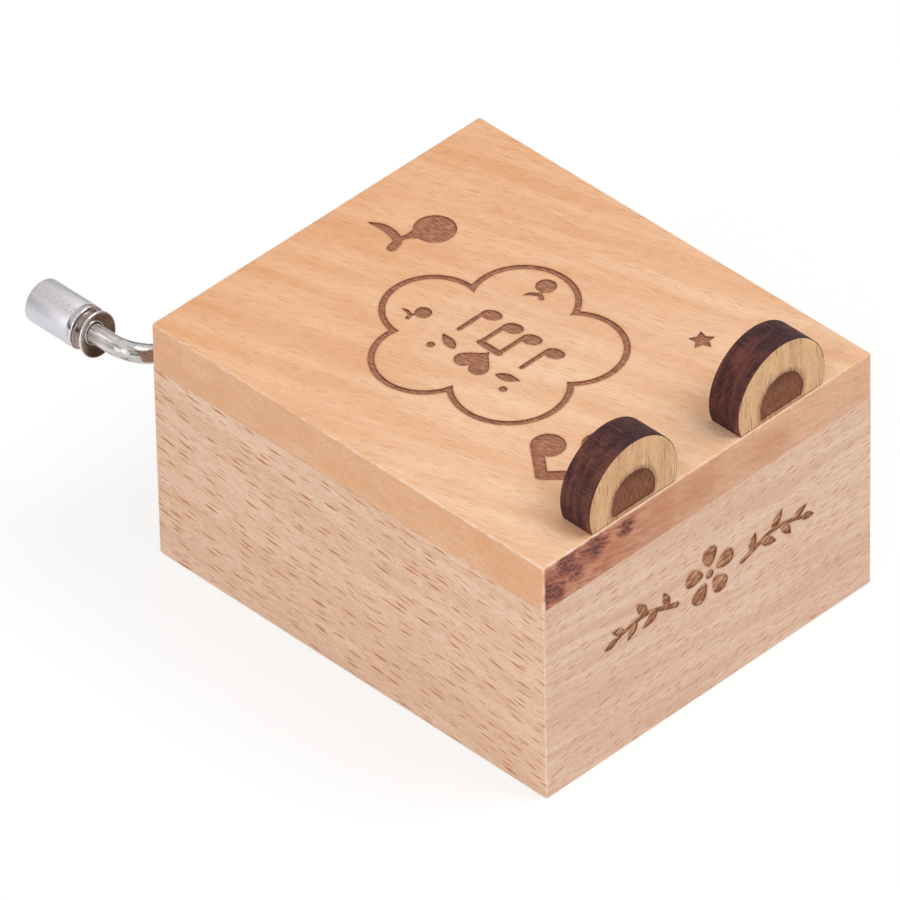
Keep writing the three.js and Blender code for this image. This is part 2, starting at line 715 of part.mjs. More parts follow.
// Out through the back wall, up across the back and out again into the knob, whose crimp sits in a neck
function crankRod() {
  const out = new THREE.Vector3(0, 1, 0);
  const along = new THREE.Vector3(-Math.cos(crankRestAngle), 0, Math.sin(crankRestAngle));
  const start = new THREE.Vector3(shaftX, socketEndY + fitClearance, shaftHeight);
  const firstCorner = new THREE.Vector3(shaftX, armY, shaftHeight);
  const secondCorner = new THREE.Vector3(knobX, armY, knobHeight);
  const end = new THREE.Vector3(knobX, rodEndY, knobHeight);
  const firstBend = new Bend(firstCorner, out, along, rodBendRadius);
  const secondBend = new Bend(secondCorner, along, out, rodBendRadius);
  const path = new THREE.CurvePath();
  path.add(new THREE.LineCurve3(start, firstBend.getPoint(0)));
  path.add(firstBend);
  path.add(new THREE.LineCurve3(firstBend.getPoint(1), secondBend.getPoint(0)));
  path.add(secondBend);
  path.add(new THREE.LineCurve3(secondBend.getPoint(1), end));
  const section = new THREE.Shape().absarc(0, 0, rodRadius, 0, 2 * Math.PI, false);
  const bar = new THREE.ExtrudeGeometry(section, {
    steps: rodSteps, extrudePath: path, curveSegments: rodSides / 2,
  });
  const spigotProfile = rodProfile(spigotRadius, start.y - spigotLength, start.y + overrun);
  const spigot = turned(spigotProfile, aboutY, [shaftX, 0, shaftHeight]);
  const neckFrom = neckMiddle - rodNeckWidth / 2;
  const neckTo = neckMiddle + rodNeckWidth / 2;
  const outside = rodRadius + overrun;
  const neck = turned([
    [rodNeckRadius, neckFrom], [outside, neckFrom], [outside, neckTo], [rodNeckRadius, neckTo],
    [rodNeckRadius, neckFrom],
  ], aboutY, [knobX, 0, knobHeight]);
  return meshOf("crank_rod", solidOf(bar).add(spigot).subtract(neck), nickel);
}

// A drawn and turned cap, countersunk where the rod goes in, with a rolled groove behind its flange
function knob() {
  const wide = 1 / Math.cos(Math.PI / turnedSides);
  const bore = (rodRadius + runningClearance) * wide;
  const crimp = crimpRadius * wide;
  const crimpMiddle = knobFlange + knobGrooveWidth / 2;
  const groove = knobRadius - knobGrooveDepth;
  const chamfer = knobEndChamfer;
  const grooveEnd = knobFlange + knobGrooveWidth;
  const profile = [
    [0, knobBoreDepth], [bore, knobBoreDepth],
    [bore, crimpMiddle + crimpWidth], [crimp, crimpMiddle + crimpWidth / 2],
    [crimp, crimpMiddle - crimpWidth / 2], [bore, crimpMiddle - crimpWidth], [bore, countersinkDepth],
    [knobRadius - chamfer, 0],
    [knobRadius, chamfer / 2], [knobRadius, knobFlange - chamfer / 2],
    [groove, knobFlange + chamfer / 2], [groove, grooveEnd - chamfer / 2],
    [knobRadius, grooveEnd + chamfer / 2], [knobRadius, knobLength - chamfer],
    [knobRadius - chamfer, knobLength], [0, knobLength],
  ];
  const spool = turned(profile, aboutY, [knobX, knobStartY, knobHeight], fineSides);
  return meshOf("crank_knob", spool, turnedMetal);
}

// Assembly

const musicBox = new THREE.Group();
const bracketScrewGrip = bracketThickness + bracketScrewBite;
musicBox.add(
  ...walls(),
  lid(),
  bottomPanel(),
  ear("left_ear", -1),
  ear("right_ear", 1),
  ...screwsFromBelow(
    "panel_screw", panelScrewPlaces,
    countersunkScrew(panelScrewHead, panelScrewRadius, panelScrewLength, panelScrewTip),
  ),
  ...screwsFromBelow(
    "movement_screw", movementScrewPlaces,
    countersunkScrew(movementScrewHead, movementScrewRadius, movementScrewLength, movementScrewTip),
  ),
  bedplate(),
  gearBracket(),
  ...screwsFromAbove("gear_bracket_screw", gearScrewPlaces, footTop, bracketScrewGrip),
  cylinderBracket(),
  ...screwsFromAbove("cylinder_bracket_screw", cylinderScrewPlaces, footTop, bracketScrewGrip),
  comb(),
  ...screwsFromAbove("comb_screw", combScrewPlaces, combTop, combThickness + combScrewBite),
  pinnedSleeve(),
  endCap("left_end_cap", cylinderLeft),
  endCap("right_end_cap", cylinderRight - endCapThickness),
  arbor(),
  wormWheel(),
  wormShaft(),
  crankRod(),
  knob(),
);

export default musicBox;
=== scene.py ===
# Looks of a hand crank music box: a small mitred beech box with a lid that carries burned ornaments and two
# half-round ears, a bent wire crank at the back, and the movement with its pinned cylinder inside.
import json
import math

import bmesh
import bpy
from mathutils import Matrix, Vector, geometry, noise


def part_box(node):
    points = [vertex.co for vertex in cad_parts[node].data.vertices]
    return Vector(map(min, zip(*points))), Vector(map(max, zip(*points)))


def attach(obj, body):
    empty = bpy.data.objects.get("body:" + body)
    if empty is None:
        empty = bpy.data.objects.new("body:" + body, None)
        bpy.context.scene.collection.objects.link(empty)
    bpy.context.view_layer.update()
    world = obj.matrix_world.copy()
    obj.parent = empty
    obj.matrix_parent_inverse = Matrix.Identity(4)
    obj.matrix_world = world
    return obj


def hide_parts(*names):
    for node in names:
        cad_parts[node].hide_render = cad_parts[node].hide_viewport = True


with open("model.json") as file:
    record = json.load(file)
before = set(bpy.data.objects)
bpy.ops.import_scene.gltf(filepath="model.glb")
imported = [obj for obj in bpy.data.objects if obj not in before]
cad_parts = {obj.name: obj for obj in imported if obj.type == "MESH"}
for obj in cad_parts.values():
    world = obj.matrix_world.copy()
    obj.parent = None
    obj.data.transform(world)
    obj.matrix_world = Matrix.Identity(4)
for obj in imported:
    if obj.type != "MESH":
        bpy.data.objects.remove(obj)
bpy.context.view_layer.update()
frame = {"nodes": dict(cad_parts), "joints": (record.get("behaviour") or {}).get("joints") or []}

mm = 0.001
nodes = frame["nodes"]


# Studio
# The box stands on a white sweep in soft light from all round, with one large lamp over the front right and
# a weaker one on the left. The camera stands far back at the photograph's angle, so upright edges stay
# parallel.

view_azimuth = math.radians(-44.273)
view_elevation = math.radians(39.482)
view_roll = math.radians(-1.167)
view_distance = 1.611
view_target = Vector((-10.177, 0, 23.91)) * mm
lens_in_frame_widths = 15.4559
sensor_width = 36
sky_level = 0.62
key_level = 0.38
fill_level = 0.32
floor_reach = 4
floor_drop = 0.02 * mm
floor_tone = 0.88
floor_tone_in_view = 0.3
floor_white = 1.03


def colour(red, green, blue):
    """A colour as it is seen on screen, 0 to 255, turned into the light that a shader works with."""
    def light(part):
        share = part / 255
        return share / 12.92 if share <= 0.04045 else ((share + 0.055) / 1.055) ** 2.4
    return (light(red), light(green), light(blue), 1)


def set_inputs(tree, node, inputs):
    """Sets each input to a value, or links it to another node's output."""
    for key, value in inputs.items():
        if isinstance(value, bpy.types.NodeSocket):
            tree.links.new(value, node.inputs[key])
        else:
            node.inputs[key].default_value = value


def add_node(tree, kind, inputs=None, **settings):
    node = tree.nodes.new(kind)
    for name, value in settings.items():
        setattr(node, name, value)
    set_inputs(tree, node, inputs or {})
    return node


def calc(tree, operation, *values):
    return add_node(tree, "ShaderNodeMath", dict(enumerate(values)), operation=operation).outputs[0]


def product(tree, first, *others):
    """Shares multiplied with each other."""
    for other in others:
        first = calc(tree, "MULTIPLY", first, other)
    return first


def vector_calc(tree, operation, *values, result="Vector"):
    made = add_node(tree, "ShaderNodeVectorMath", dict(enumerate(values)), operation=operation)
    return made.outputs[result]


def parts_of(tree, place):
    return add_node(tree, "ShaderNodeSeparateXYZ", {0: place}).outputs


def fade(tree, value, low, high):
    """0 below low, 1 above high and a smooth rise between them; it falls where low is the larger one."""
    ends = {"Value": value, "From Min": low, "From Max": high, "To Min": 0.0, "To Max": 1.0}
    if low > high:
        ends.update({"From Min": high, "From Max": low, "To Min": 1.0, "To Max": 0.0})
    return add_node(tree, "ShaderNodeMapRange", ends, interpolation_type="SMOOTHSTEP").outputs["Result"]


def mix(tree, share, first, second, blend_type="MIX"):
    """Two colours mixed by a share from 0 to 1."""
    made = add_node(
        tree, "ShaderNodeMix", {0: share, 6: first, 7: second},
        data_type="RGBA", blend_type=blend_type,
    )
    return made.outputs[2]


def new_material(name):
    """A material with its tree, and the place in space that its pattern is worked out from."""
    material = bpy.data.materials.new(name)
    material.use_nodes = True
    tree = material.node_tree
    return material, tree, add_node(tree, "ShaderNodeTexCoord").outputs["Object"]


def set_shader(tree, **values):
    """Sets or links the shader's inputs, named in lower case."""
    names = {name.replace("_", " ").title().replace("Ior", "IOR"): value for name, value in values.items()}
    set_inputs(tree, tree.nodes["Principled BSDF"], names)


def add_object(name, data):
    made = bpy.data.objects.new(name, data)
    bpy.context.scene.collection.objects.link(made)
    return made


def white_sweep():
    """The floor's finish: white to the camera, with a pale shadow under what stands on it."""
    material, tree, _ = new_material("white_sweep")
    path = add_node(tree, "ShaderNodeLightPath").outputs
    seen = calc(tree, "MAXIMUM", path["Is Camera Ray"], path["Is Glossy Ray"])
    set_shader(
        tree, roughness=0.9, specular_ior_level=0, emission_color=(1, 1, 1, 1),
        base_color=mix(tree, seen, [floor_tone] * 3 + [1], [floor_tone_in_view] * 3 + [1]),
        emission_strength=product(tree, seen, floor_white - floor_tone_in_view),
    )
    return material


def studio_floor():
    mesh = bpy.data.meshes.new("floor")
    corners = [(-floor_reach, -floor_reach), (floor_reach, -floor_reach),
               (floor_reach, floor_reach), (-floor_reach, floor_reach)]
    mesh.from_pydata([(x, y, -floor_drop) for x, y in corners], [], [(0, 1, 2, 3)])
    mesh.materials.append(white_sweep())
    add_object("floor", mesh)


def studio_room():
    """White to the camera, an even level on matt surfaces, and in gloss a room with a bright ceiling."""
    world = bpy.data.worlds.new("studio")
    bpy.context.scene.world = world
    world.use_nodes = True
    tree = world.node_tree
    tree.nodes.clear()
    path = add_node(tree, "ShaderNodeLightPath").outputs
    height = parts_of(tree, add_node(tree, "ShaderNodeTexCoord").outputs["Generated"])["Z"]
    dark_wall = (0.16, 0.15, 0.15, 1)
    white = (1, 1, 1, 1)
    room = mix(tree, fade(tree, height, 0.12, 0.55), dark_wall, white)
    lit = mix(tree, path["Is Glossy Ray"], (sky_level, sky_level, sky_level, 1), room)
    clear = calc(tree, "MAXIMUM", path["Is Camera Ray"], path["Is Transmission Ray"])
    shown = mix(tree, clear, lit, white)
    background = add_node(tree, "ShaderNodeBackground", {"Color": shown, "Strength": 1.0})
    add_node(tree, "ShaderNodeOutputWorld", {"Surface": background.outputs[0]})


def studio_lamps():
    middle = Vector((0, 0, 20)) * mm
    for name, place, level, size in (
        ("key_lamp", Vector((0.45, -0.5, 1.0)), key_level, 0.6),
        ("fill_lamp", Vector((-1.0, -0.3, 0.35)), fill_level, 0.8),
    ):
        lamp = bpy.data.lights.new(name, "AREA")
        lamp.size = size
        away = (place - middle).length
        lamp.energy = level * math.pi ** 2 * away ** 2
        holder = add_object(name, lamp)
        holder.location = place
        holder.rotation_euler = (place - middle).to_track_quat("Z", "Y").to_euler()


def studio_camera():
    turn = (
        Matrix.Rotation(view_azimuth, 4, "Z")
        @ Matrix.Rotation(math.pi / 2 - view_elevation, 4, "X")
        @ Matrix.Rotation(view_roll, 4, "Z")
    )
    towards_camera = turn.to_3x3() @ Vector((0, 0, 1))
    lens = bpy.data.cameras.new("camera")
    lens.sensor_width = sensor_width
    lens.lens = sensor_width * lens_in_frame_widths
    camera = add_object("camera", lens)
    camera.matrix_world = Matrix.Translation(view_target + towards_camera * view_distance) @ turn
    bpy.context.scene.camera = camera
    bpy.context.scene.view_settings.view_transform = "Standard"


studio_floor()
studio_room()
studio_lamps()
studio_camera()


# Walls
# Four beech boards, 6 mm thick, mitred at the corners and glued, with a rabbet along the foot for the bottom
# panel. Their grain runs level; the flat-sawn side boards show the dark spindles of the wood's rays.

half_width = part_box("right_wall")[1].x
half_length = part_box("back_wall")[1].y
wall_thickness = 6 * mm
corner_round = 0.3 * mm
foot_round = 0.35 * mm
joint_round = 0.1 * mm
panel_gap = 0.3 * mm
arc_steps = 5
burn_depth = 0.2
burn_fringe = 0.3
ornament_height = 17.6
crank_hole_radius = 1.97 * mm


def middle_of(node):
    low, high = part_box(node)
    return (low + high) / 2


def attribute(tree, name, kind="Fac"):
    return add_node(tree, "ShaderNodeAttribute", attribute_name=name).outputs[kind]


def framed(tree, place, size, turn=(0, 0, 0), start=(0, 0, 0)):
    """A place as it is seen from a frame that starts and is turned as given, counted in units of size."""
    return add_node(
        tree, "ShaderNodeMapping", {"Vector": place, "Location": start, "Rotation": turn, "Scale": size},
        vector_type="TEXTURE",
    ).outputs[0]


def clouds(tree, place, size, detail, turn=(0, 0, 0), roughness=0.55, result="Fac"):
    """Cloudy noise about as large as size along each axis of the turned frame."""
    where = framed(tree, place, size, turn)
    return add_node(
        tree, "ShaderNodeTexNoise", {"Vector": where, "Scale": 1.0, "Detail": detail, "Roughness": roughness},
    ).outputs[result]


def coat(tree, shade, tone, *shares, blend_type="MIX"):
    """A shade under a coat of another, which covers as much as the shares say when they are multiplied. The
    tone is another shade, or red, green and blue as seen on screen."""
    if isinstance(tone, tuple) and len(tone) == 3:
        tone = colour(*tone)
    return mix(tree, product(tree, *shares), shade, tone, blend_type)


def bumps(tree, relief, strength, depth):
    made = add_node(tree, "ShaderNodeBump", {"Strength": strength, "Distance": depth, "Height": relief})
    return made.outputs[0]


def board_frame(along, across):
    """How a pattern turns with its board, with the grain's direction and the way out of the board's face."""
    along = Vector(along).normalized()
    outwards = along.cross(Vector(across)).normalized()
    across = outwards.cross(along)
    return Matrix((along, across, outwards)).transposed().to_euler(), along, outwards


def wood(name, along, across, light, dark, fleck, fleck_size, fleck_share, fleck_strength, fleck_tilt=0.0,
         streak_width=2.4, fibre_size=(1.1, 0.17), fibre_strength=0.45, start=(0, 0, 0), end_tone=None,
         edge_tone=None, edge_flecks=0.2, cloud_strength=0.22, grit=0.14, fringe_tone=(176, 122, 84),
         fringe_level=0.8, marks=None):
    """Solid beech: its pattern runs through the board, so faces, edges and end grain agree.
    along is the grain's direction and across the other one in the board's face. fleck_size is the length and
    width in millimetres of the cell that holds one ray, and fibre_size those of one fibre. end_tone colours
    the end grain, edge_tone filters the board's long edges, fringe_tone is the scorched wood round an
    ornament, and marks is painted over the grain."""
    material, tree, place = new_material(name)
    turn, along, outwards = board_frame(along, across)
    grain = framed(tree, place, (mm,) * 3, turn, Vector(start) * mm)
    sway = clouds(tree, grain, (15, 5, 5), 1.0, result="Color")
    sway = vector_calc(tree, "SUBTRACT", sway, (0.5, 0.5, 0.5))
    swayed = vector_calc(tree, "ADD", grain, vector_calc(tree, "MULTIPLY", sway, (0.0, 2.0, 2.0)))
    tilt = (0, 0, fleck_tilt)
    deeper = mix(tree, 0.5, colour(*dark), colour(*fleck))
    paler = mix(tree, 0.4, colour(*light), (1, 1, 1, 1))

    broad = fade(tree, clouds(tree, swayed, (26, streak_width, 5), 3.0), 0.32, 0.68)
    shade = mix(tree, broad, colour(*dark), colour(*light))
    cloudy = fade(tree, clouds(tree, swayed, (11, 1.9, 4), 2.0), 0.42, 0.75)
    shade = coat(tree, shade, deeper, cloudy, cloud_strength)
    fibre_length, fibre_width = fibre_size
    fibre = clouds(tree, swayed, (fibre_length, fibre_width, fibre_width), 3.0, tilt)
    shade = coat(tree, shade, deeper, fade(tree, fibre, 0.5, 0.34), fibre_strength)
    pale_size = (fibre_length * 1.7, fibre_width * 1.2, fibre_width * 1.5)
    pale_thread = fade(tree, clouds(tree, swayed, pale_size, 2.0, tilt), 0.54, 0.68)
    shade = coat(tree, shade, paler, pale_thread, fibre_strength * 0.6)

    normal = add_node(tree, "ShaderNodeTexCoord").outputs["Normal"]

    def facing(direction):
        return calc(tree, "ABSOLUTE", vector_calc(tree, "DOT_PRODUCT", normal, direction, result="Value"))

    def rays(length, width, share, offset):
        """Spindles on the board's face, of differing size and depth, with pointed ends. They are set apart in
        cells wider than they are, so that they seldom lie side by side."""
        apart = 1.7
        where = framed(tree, swayed, (length, width * apart, 1), tilt, offset)
        cell = add_node(
            tree, "ShaderNodeTexVoronoi", {"Vector": where, "Scale": 1.0, "Randomness": 0.93},
            voronoi_dimensions="2D", feature="F1",
        ).outputs
        chance = add_node(tree, "ShaderNodeSeparateColor", {0: cell["Color"]}).outputs
        off = vector_calc(tree, "ABSOLUTE", vector_calc(tree, "SUBTRACT", where, cell["Position"]))
        off = parts_of(tree, off)
        pointed = 1.3
        lengthwise = calc(tree, "POWER", off["X"], pointed)
        sideways = calc(tree, "POWER", product(tree, off["Y"], apart), pointed)
        away = calc(tree, "POWER", calc(tree, "ADD", lengthwise, sideways), 1 / pointed)
        size = calc(tree, "MULTIPLY_ADD", chance["Green"], 0.24, 0.16)
        shape = fade(tree, calc(tree, "DIVIDE", away, size), 1.0, 0.65)
        there = calc(tree, "LESS_THAN", chance["Red"], share * apart)
        depth = calc(tree, "MULTIPLY_ADD", chance["Blue"], 0.45, 0.55)
        return product(tree, shape, there, depth)

    length, width = fleck_size
    flecks = rays(length, width, fleck_share, (0, 0, 0))
    medium = product(tree, rays(length * 0.7, width * 0.6, fleck_share * 0.5, (7, 3, 0)), 0.55)
    small = product(tree, rays(length * 0.4, width * 0.36, 0.4, (2, 9, 0)), 0.35)
    for others in (medium, small):
        flecks = calc(tree, "MAXIMUM", flecks, others)
    on_face = fade(tree, facing(outwards), 0.5, 0.9)
    level = calc(
        tree, "MULTIPLY_ADD", on_face, fleck_strength * (1 - edge_flecks), fleck_strength * edge_flecks,
    )
    flecks = product(tree, flecks, level)
    shade = coat(tree, shade, fleck, flecks)
    dust = clouds(tree, grain, (0.16, 0.16, 0.16), 2.0)
    shade = coat(tree, shade, fleck, fade(tree, dust, 0.5, 0.8), grit)
    shade = coat(tree, shade, (1, 0.93, 0.86, 1), fade(tree, dust, 0.5, 0.2), grit)

    end_grain = fade(tree, facing(along), 0.6, 0.95)
    if end_tone:
        speckle = fade(tree, clouds(tree, grain, (0.32, 1.2, 0.32), 2.0), 0.05, 1.05)
        end_shade = mix(tree, speckle, colour(*end_tone), colour(*light))
        shade = coat(tree, shade, end_shade, end_grain, 0.85)
    if edge_tone:
        on_edge = calc(tree, "SUBTRACT", calc(tree, "SUBTRACT", 1.0, on_face), end_grain)
        on_edge = calc(tree, "MAXIMUM", on_edge, 0.0)
        blotches = fade(tree, clouds(tree, grain, (4, 1.2, 0.9), 3.0), 0.4, 0.66)
        short_fibres = fade(tree, clouds(tree, swayed, (1.1, 0.2, 0.13), 3.0), 0.47, 0.62)
        speck_tone = (0.93, 0.925, 0.92, 1)
        shade = coat(tree, shade, dark, on_edge, 0.25)
        shade = coat(tree, shade, (*edge_tone, 1), on_edge, blend_type="MULTIPLY")
        shade = coat(tree, shade, speck_tone, on_edge, fade(tree, dust, 0.35, 0.65), blend_type="MULTIPLY")
        shade = coat(tree, shade, deeper, on_edge, blotches, 0.5)
        shade = coat(tree, shade, deeper, on_edge, short_fibres, 0.75)
    if marks:
        shade = marks(tree, place, shade, end_grain)
    # The pale coat on eased edges and corners is partly rubbed wear and partly a painted highlight.
    rubbed_and_highlit = fade(tree, clouds(tree, grain, (1.2, 1.2, 1.2), 2.0), 0.25, 0.7)
    shade = coat(tree, shade, (255, 231, 212), attribute(tree, "wear_and_highlight"), rubbed_and_highlit, 0.7)
    patchy = fade(tree, fibre, 0.2, 0.8)
    shade = coat(tree, shade, fringe_tone, attribute(tree, "scorch"), patchy, fringe_level)
    relief = calc(tree, "SUBTRACT", fibre, product(tree, flecks, 0.6))
    set_shader(
        tree, base_color=shade, roughness=calc(tree, "MULTIPLY_ADD", fibre, 0.2, 0.42),
        specular_ior_level=0.3, normal=bumps(tree, relief, 0.35, 0.03 * mm),
    )
    return material


def scorched(name, along, across, dark, light, shows_through, streak, share, wall_char_and_shade, darker_between=None):
    """Burned floor of an ornament: brown, with the grain still showing as darker and paler streaks, and
    darkest up the walls round it, with char and painted shade of the recess as far as the walls' share says.
    darker_between gives two heights between which it darkens upwards."""
    material, tree, place = new_material(name)
    turn = board_frame(along, across)[0]

    def grained(size, detail):
        return clouds(tree, place, Vector(size) * mm, detail, turn, 0.6)

    streaks = grained(streak, 3.0)
    shade = mix(tree, fade(tree, streaks, 0.33, 0.66), colour(*dark), colour(*light))
    shade = coat(tree, shade, shows_through, fade(tree, grained(streak, 1.0), 0.52, 0.72), share)
    shade = coat(tree, shade, dark, fade(tree, grained((1.4, 0.8, 1), 2.0), 0.5, 0.72), 0.45)
    blackened = mix(tree, 0.35, colour(*dark), (0, 0, 0, 1))
    # Towards the top of the walls: char, with painted shade of the recess.
    shade = coat(tree, shade, blackened, fade(tree, attribute(tree, "scorch"), 0.5, 0.7), wall_char_and_shade)
    if darker_between:
        upper = fade(tree, parts_of(tree, place)["Z"], *darker_between)
        shade = coat(tree, shade, blackened, upper, 0.7)
    set_shader(
        tree, base_color=shade, roughness=0.85, specular_ior_level=0.2,
        normal=bumps(tree, streaks, 0.7, 0.06 * mm),
    )
    return material


def start_mesh():
    """An empty mesh whose points can carry how scorched the surface is there, and how far it is rubbed pale
    and given a painted highlight.
    """
    mesh = bmesh.new()
    for name in ("wear_and_highlight", "scorch"):
        mesh.verts.layers.float.new(name)
    return mesh


def stack(mesh, rings, wear_and_highlight_rows=None):
    """Joins closed rings of points, lowest first and running left round, with faces between them.
    Where two rings share a point they share its vertex, so a ledge or a pole closes without doubles."""
    layer = mesh.verts.layers.float["wear_and_highlight"]
    same_point = 1e-7
    made = []
    for level, ring in enumerate(rings):
        row = []
        for i, point in enumerate(ring):
            below = made[-1][i] if made else None
            if below and (below.co - Vector(point)).length < same_point:
                row.append(below)
                continue
            vertex = mesh.verts.new(point)
            vertex[layer] = wear_and_highlight_rows[level][i] if wear_and_highlight_rows else 0
            row.append(vertex)
        if made:
            count = len(row)
            for i in range(count):
                corners = [made[-1][i], made[-1][(i + 1) % count], row[(i + 1) % count], row[i]]
                corners = list(dict.fromkeys(corners))
                if len(corners) > 2:
                    mesh.faces.new(corners)
        made.append(row)
    return made


def close_ends(mesh, rings):
    mesh.faces.new(reversed(rings[0]))
    mesh.faces.new(rings[-1])


def plain_mesh(name, mesh):
    data = bpy.data.meshes.new(name)
    mesh.to_mesh(data)
    mesh.free()
    return data


def add_piece(name, data, body, slot, *stands_for, smooth_below=35):
    """Makes a mesh an object that rides on a body and stands for CAD nodes."""
    data.shade_smooth()
    data.set_sharp_from_angle(angle=math.radians(smooth_below))
    piece = add_object(name, data)
    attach(piece, body)
    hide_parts(*stands_for)
    return piece


def finish_piece(name, mesh, materials, body, slot, stands_for, smooth_below=35):
    """Ends the work on a mesh and adds it as a piece with its materials."""
    data = plain_mesh(name, mesh)
    for material in materials:
        data.materials.append(material)
    return add_piece(name, data, body, slot, stands_for, smooth_below=smooth_below)


def cut_away(piece, mesh):
    """Takes the space inside a mesh out of a piece."""
    bmesh.ops.recalc_face_normals(mesh, faces=mesh.faces)
    cutter = add_object("cutter", plain_mesh("cutter", mesh))
    tool = piece.modifiers.new("cut", "BOOLEAN")
    tool.object = cutter
    tool.operation = "DIFFERENCE"
    tool.solver = "EXACT"
    seen = bpy.context.evaluated_depsgraph_get()
    cut = bpy.data.meshes.new_from_object(piece.evaluated_get(seen))
    piece.modifiers.remove(tool)
    old = piece.data
    piece.data = cut
    bpy.data.meshes.remove(old)
    bpy.data.objects.remove(cutter)
    piece.data.set_sharp_from_angle(angle=math.radians(35))


def lathe(mesh, profile, place, axis, sides):
    """Turns a profile of (radius, distance along the axis) about an axis through place.
    The profile runs with the axis on its left, so that the faces look outwards."""
    axis = Vector(axis).normalized()
    side = axis.orthogonal().normalized()
    other = axis.cross(side)
    rings = []
    for radius, along in profile:
        ring = []
        for i in range(sides):
            turn = 2 * math.pi * i / sides
            spoke = side * math.cos(turn) + other * math.sin(turn)
            ring.append(Vector(place) + axis * along + spoke * radius)
        rings.append(ring)
    made = stack(mesh, rings)
    for end in (0, -1):
        if profile[end][0] == 0:
            bmesh.ops.remove_doubles(mesh, verts=list(set(made[end])), dist=1e-7)


def arc(centre, radius, start, end, steps):
    """Points along an arc, from and to an angle in degrees."""
    angles = [math.radians(start + (end - start) * i / steps) for i in range(steps + 1)]
    return [Vector(centre) + Vector((math.cos(a), math.sin(a))) * radius for a in angles]


def disc(centre, radius, steps=48):
    return arc(centre, radius, 0, 360, steps)[:-1]


def quarter(steps):
    """Stops round an eased edge: how far each is along from the start, how far from the end, and how exposed
    it is to rubbing and to a painted highlight, all from 0 to 1."""
    turns = [i / steps * math.pi / 2 for i in range(steps + 1)]
    return [(1 - math.cos(turn), 1 - math.sin(turn), math.sin(2 * turn)) for turn in turns]


def heading(angle):
    """The direction at an angle in degrees, and the one to its left."""
    along = Vector((math.cos(math.radians(angle)), math.sin(math.radians(angle))))
    return along, Vector((-along.y, along.x))


def smooth_path(points, steps=8):
    """A curve through the points, which leaves and reaches the end points straight."""
    points = [Vector(p) for p in points]
    ends = [2 * points[0] - points[1]] + points + [2 * points[-1] - points[-2]]
    path = []
    for before, here, there, after in zip(ends, ends[1:], ends[2:], ends[3:]):
        for i in range(steps):
            t = i / steps
            path.append(
                here + (there - before) * (t / 2)
                + (2 * before - 5 * here + 4 * there - after) * (t * t / 2)
                + (3 * here - before - 3 * there + after) * (t ** 3 / 2)
            )
    return path + [points[-1]]


def stroke(path, widths):
    """The outline of a pen stroke with round ends along a path; its width runs through the given ones."""
    count = len(path)
    right = []
    left = []
    for i, point in enumerate(path):
        ahead = (path[min(i + 1, count - 1)] - path[max(i - 1, 0)]).normalized()
        where = i / (count - 1) * (len(widths) - 1)
        low = min(int(where), len(widths) - 2)
        width = widths[low] + (widths[low + 1] - widths[low]) * (where - low)
        side = Vector((ahead.y, -ahead.x)) * width / 2
        right.append(point + side)
        left.append(point - side)

    def cap(middle, rim_from, steps=6):
        spoke = rim_from - middle
        return [middle + (Matrix.Rotation(math.pi * i / steps, 2) @ spoke) for i in range(1, steps)]

    return right + cap(path[-1], right[-1]) + left[::-1] + cap(path[0], left[0])


def petal(centre, angle, inner, outer, width, steps=22):
    """A drop that widens from inner to outer along the angle, in degrees."""
    along, across = heading(angle)
    points = []
    for i in range(steps):
        turn = 2 * math.pi * i / steps
        far = (1 + math.cos(turn)) / 2
        reach = inner + (outer - inner) * far
        off = width / 2 * math.sin(turn) * (0.55 + 0.6 * far)
        points.append(Vector(centre) + along * reach + across * off)
    return points


def leaf(foot, angle, length, width, steps=10):
    """A pointed leaf: two shallow arcs from its foot to its tip."""
    along, across = heading(angle)
    right = []
    left = []
    for i in range(steps + 1):
        share = i / steps
        bulge = across * (width / 2 * math.sin(math.pi * share) ** 0.8 * (1.15 - 0.5 * share))
        spine = Vector(foot) + along * length * share
        right.append(spine - bulge)
        left.append(spine + bulge)
    return right + left[-2:0:-1]


def flower_band():
    """The ornament across the front: a five-petalled blossom between two sprigs of leaves."""
    motifs = [[disc((0, ornament_height), 0.62, 24)]]
    for i in range(5):
        motifs.append([petal((0, ornament_height), 90 + 72 * i, 1.15, 4.1, 2.7)])
    for side in (1, -1):
        path = [(5.4, -1.3), (7.6, -0.5), (10.0, 0.3), (12.6, 0.2), (15.4, -0.6)]
        points = smooth_path([Vector((side * x, ornament_height + z)) for x, z in path])
        motifs.append([stroke(points, [0.75, 0.7, 0.62, 0.5])])
        for share, turn, length, width in (
            (0.16, 52, 2.7, 1.35), (0.34, -50, 2.9, 1.45), (0.52, 48, 2.9, 1.45),
            (0.7, -48, 2.7, 1.35), (0.86, 46, 2.4, 1.2), (0.97, 0, 2.4, 1.2),
        ):
            at = round(share * (len(points) - 1))
            ahead = points[min(at + 1, len(points) - 1)] - points[at - 1]
            stem_angle = math.degrees(math.atan2(ahead.y, ahead.x))
            motifs.append([leaf(points[at], stem_angle + side * turn, length, width)])
    return motifs


def distance_to(point, loop):
    """How far a point is from the nearest side of a closed outline."""
    nearest = math.inf
    for a, b in zip(loop, loop[1:] + loop[:1]):
        side = b - a
        share = max(0.0, min(1.0, (point - a).dot(side) / max(side.length_squared, 1e-12)))
        nearest = min(nearest, (point - a - side * share).length)
    return nearest


def area_of(loop):
    """The area inside an outline, negative where it runs clockwise."""
    return sum(a.x * b.y - b.x * a.y for a, b in zip(loop, loop[1:] + loop[:1])) / 2


def moved_out(loop, distance):
    """The outline moved to its right, which is away from what it holds."""
    result = []
    for before, here, after in zip(loop[-1:] + loop[:-1], loop, loop[1:] + loop[:1]):
        ahead = (after - before).normalized()
        result.append(here + Vector((ahead.y, -ahead.x)) * distance)
    return result


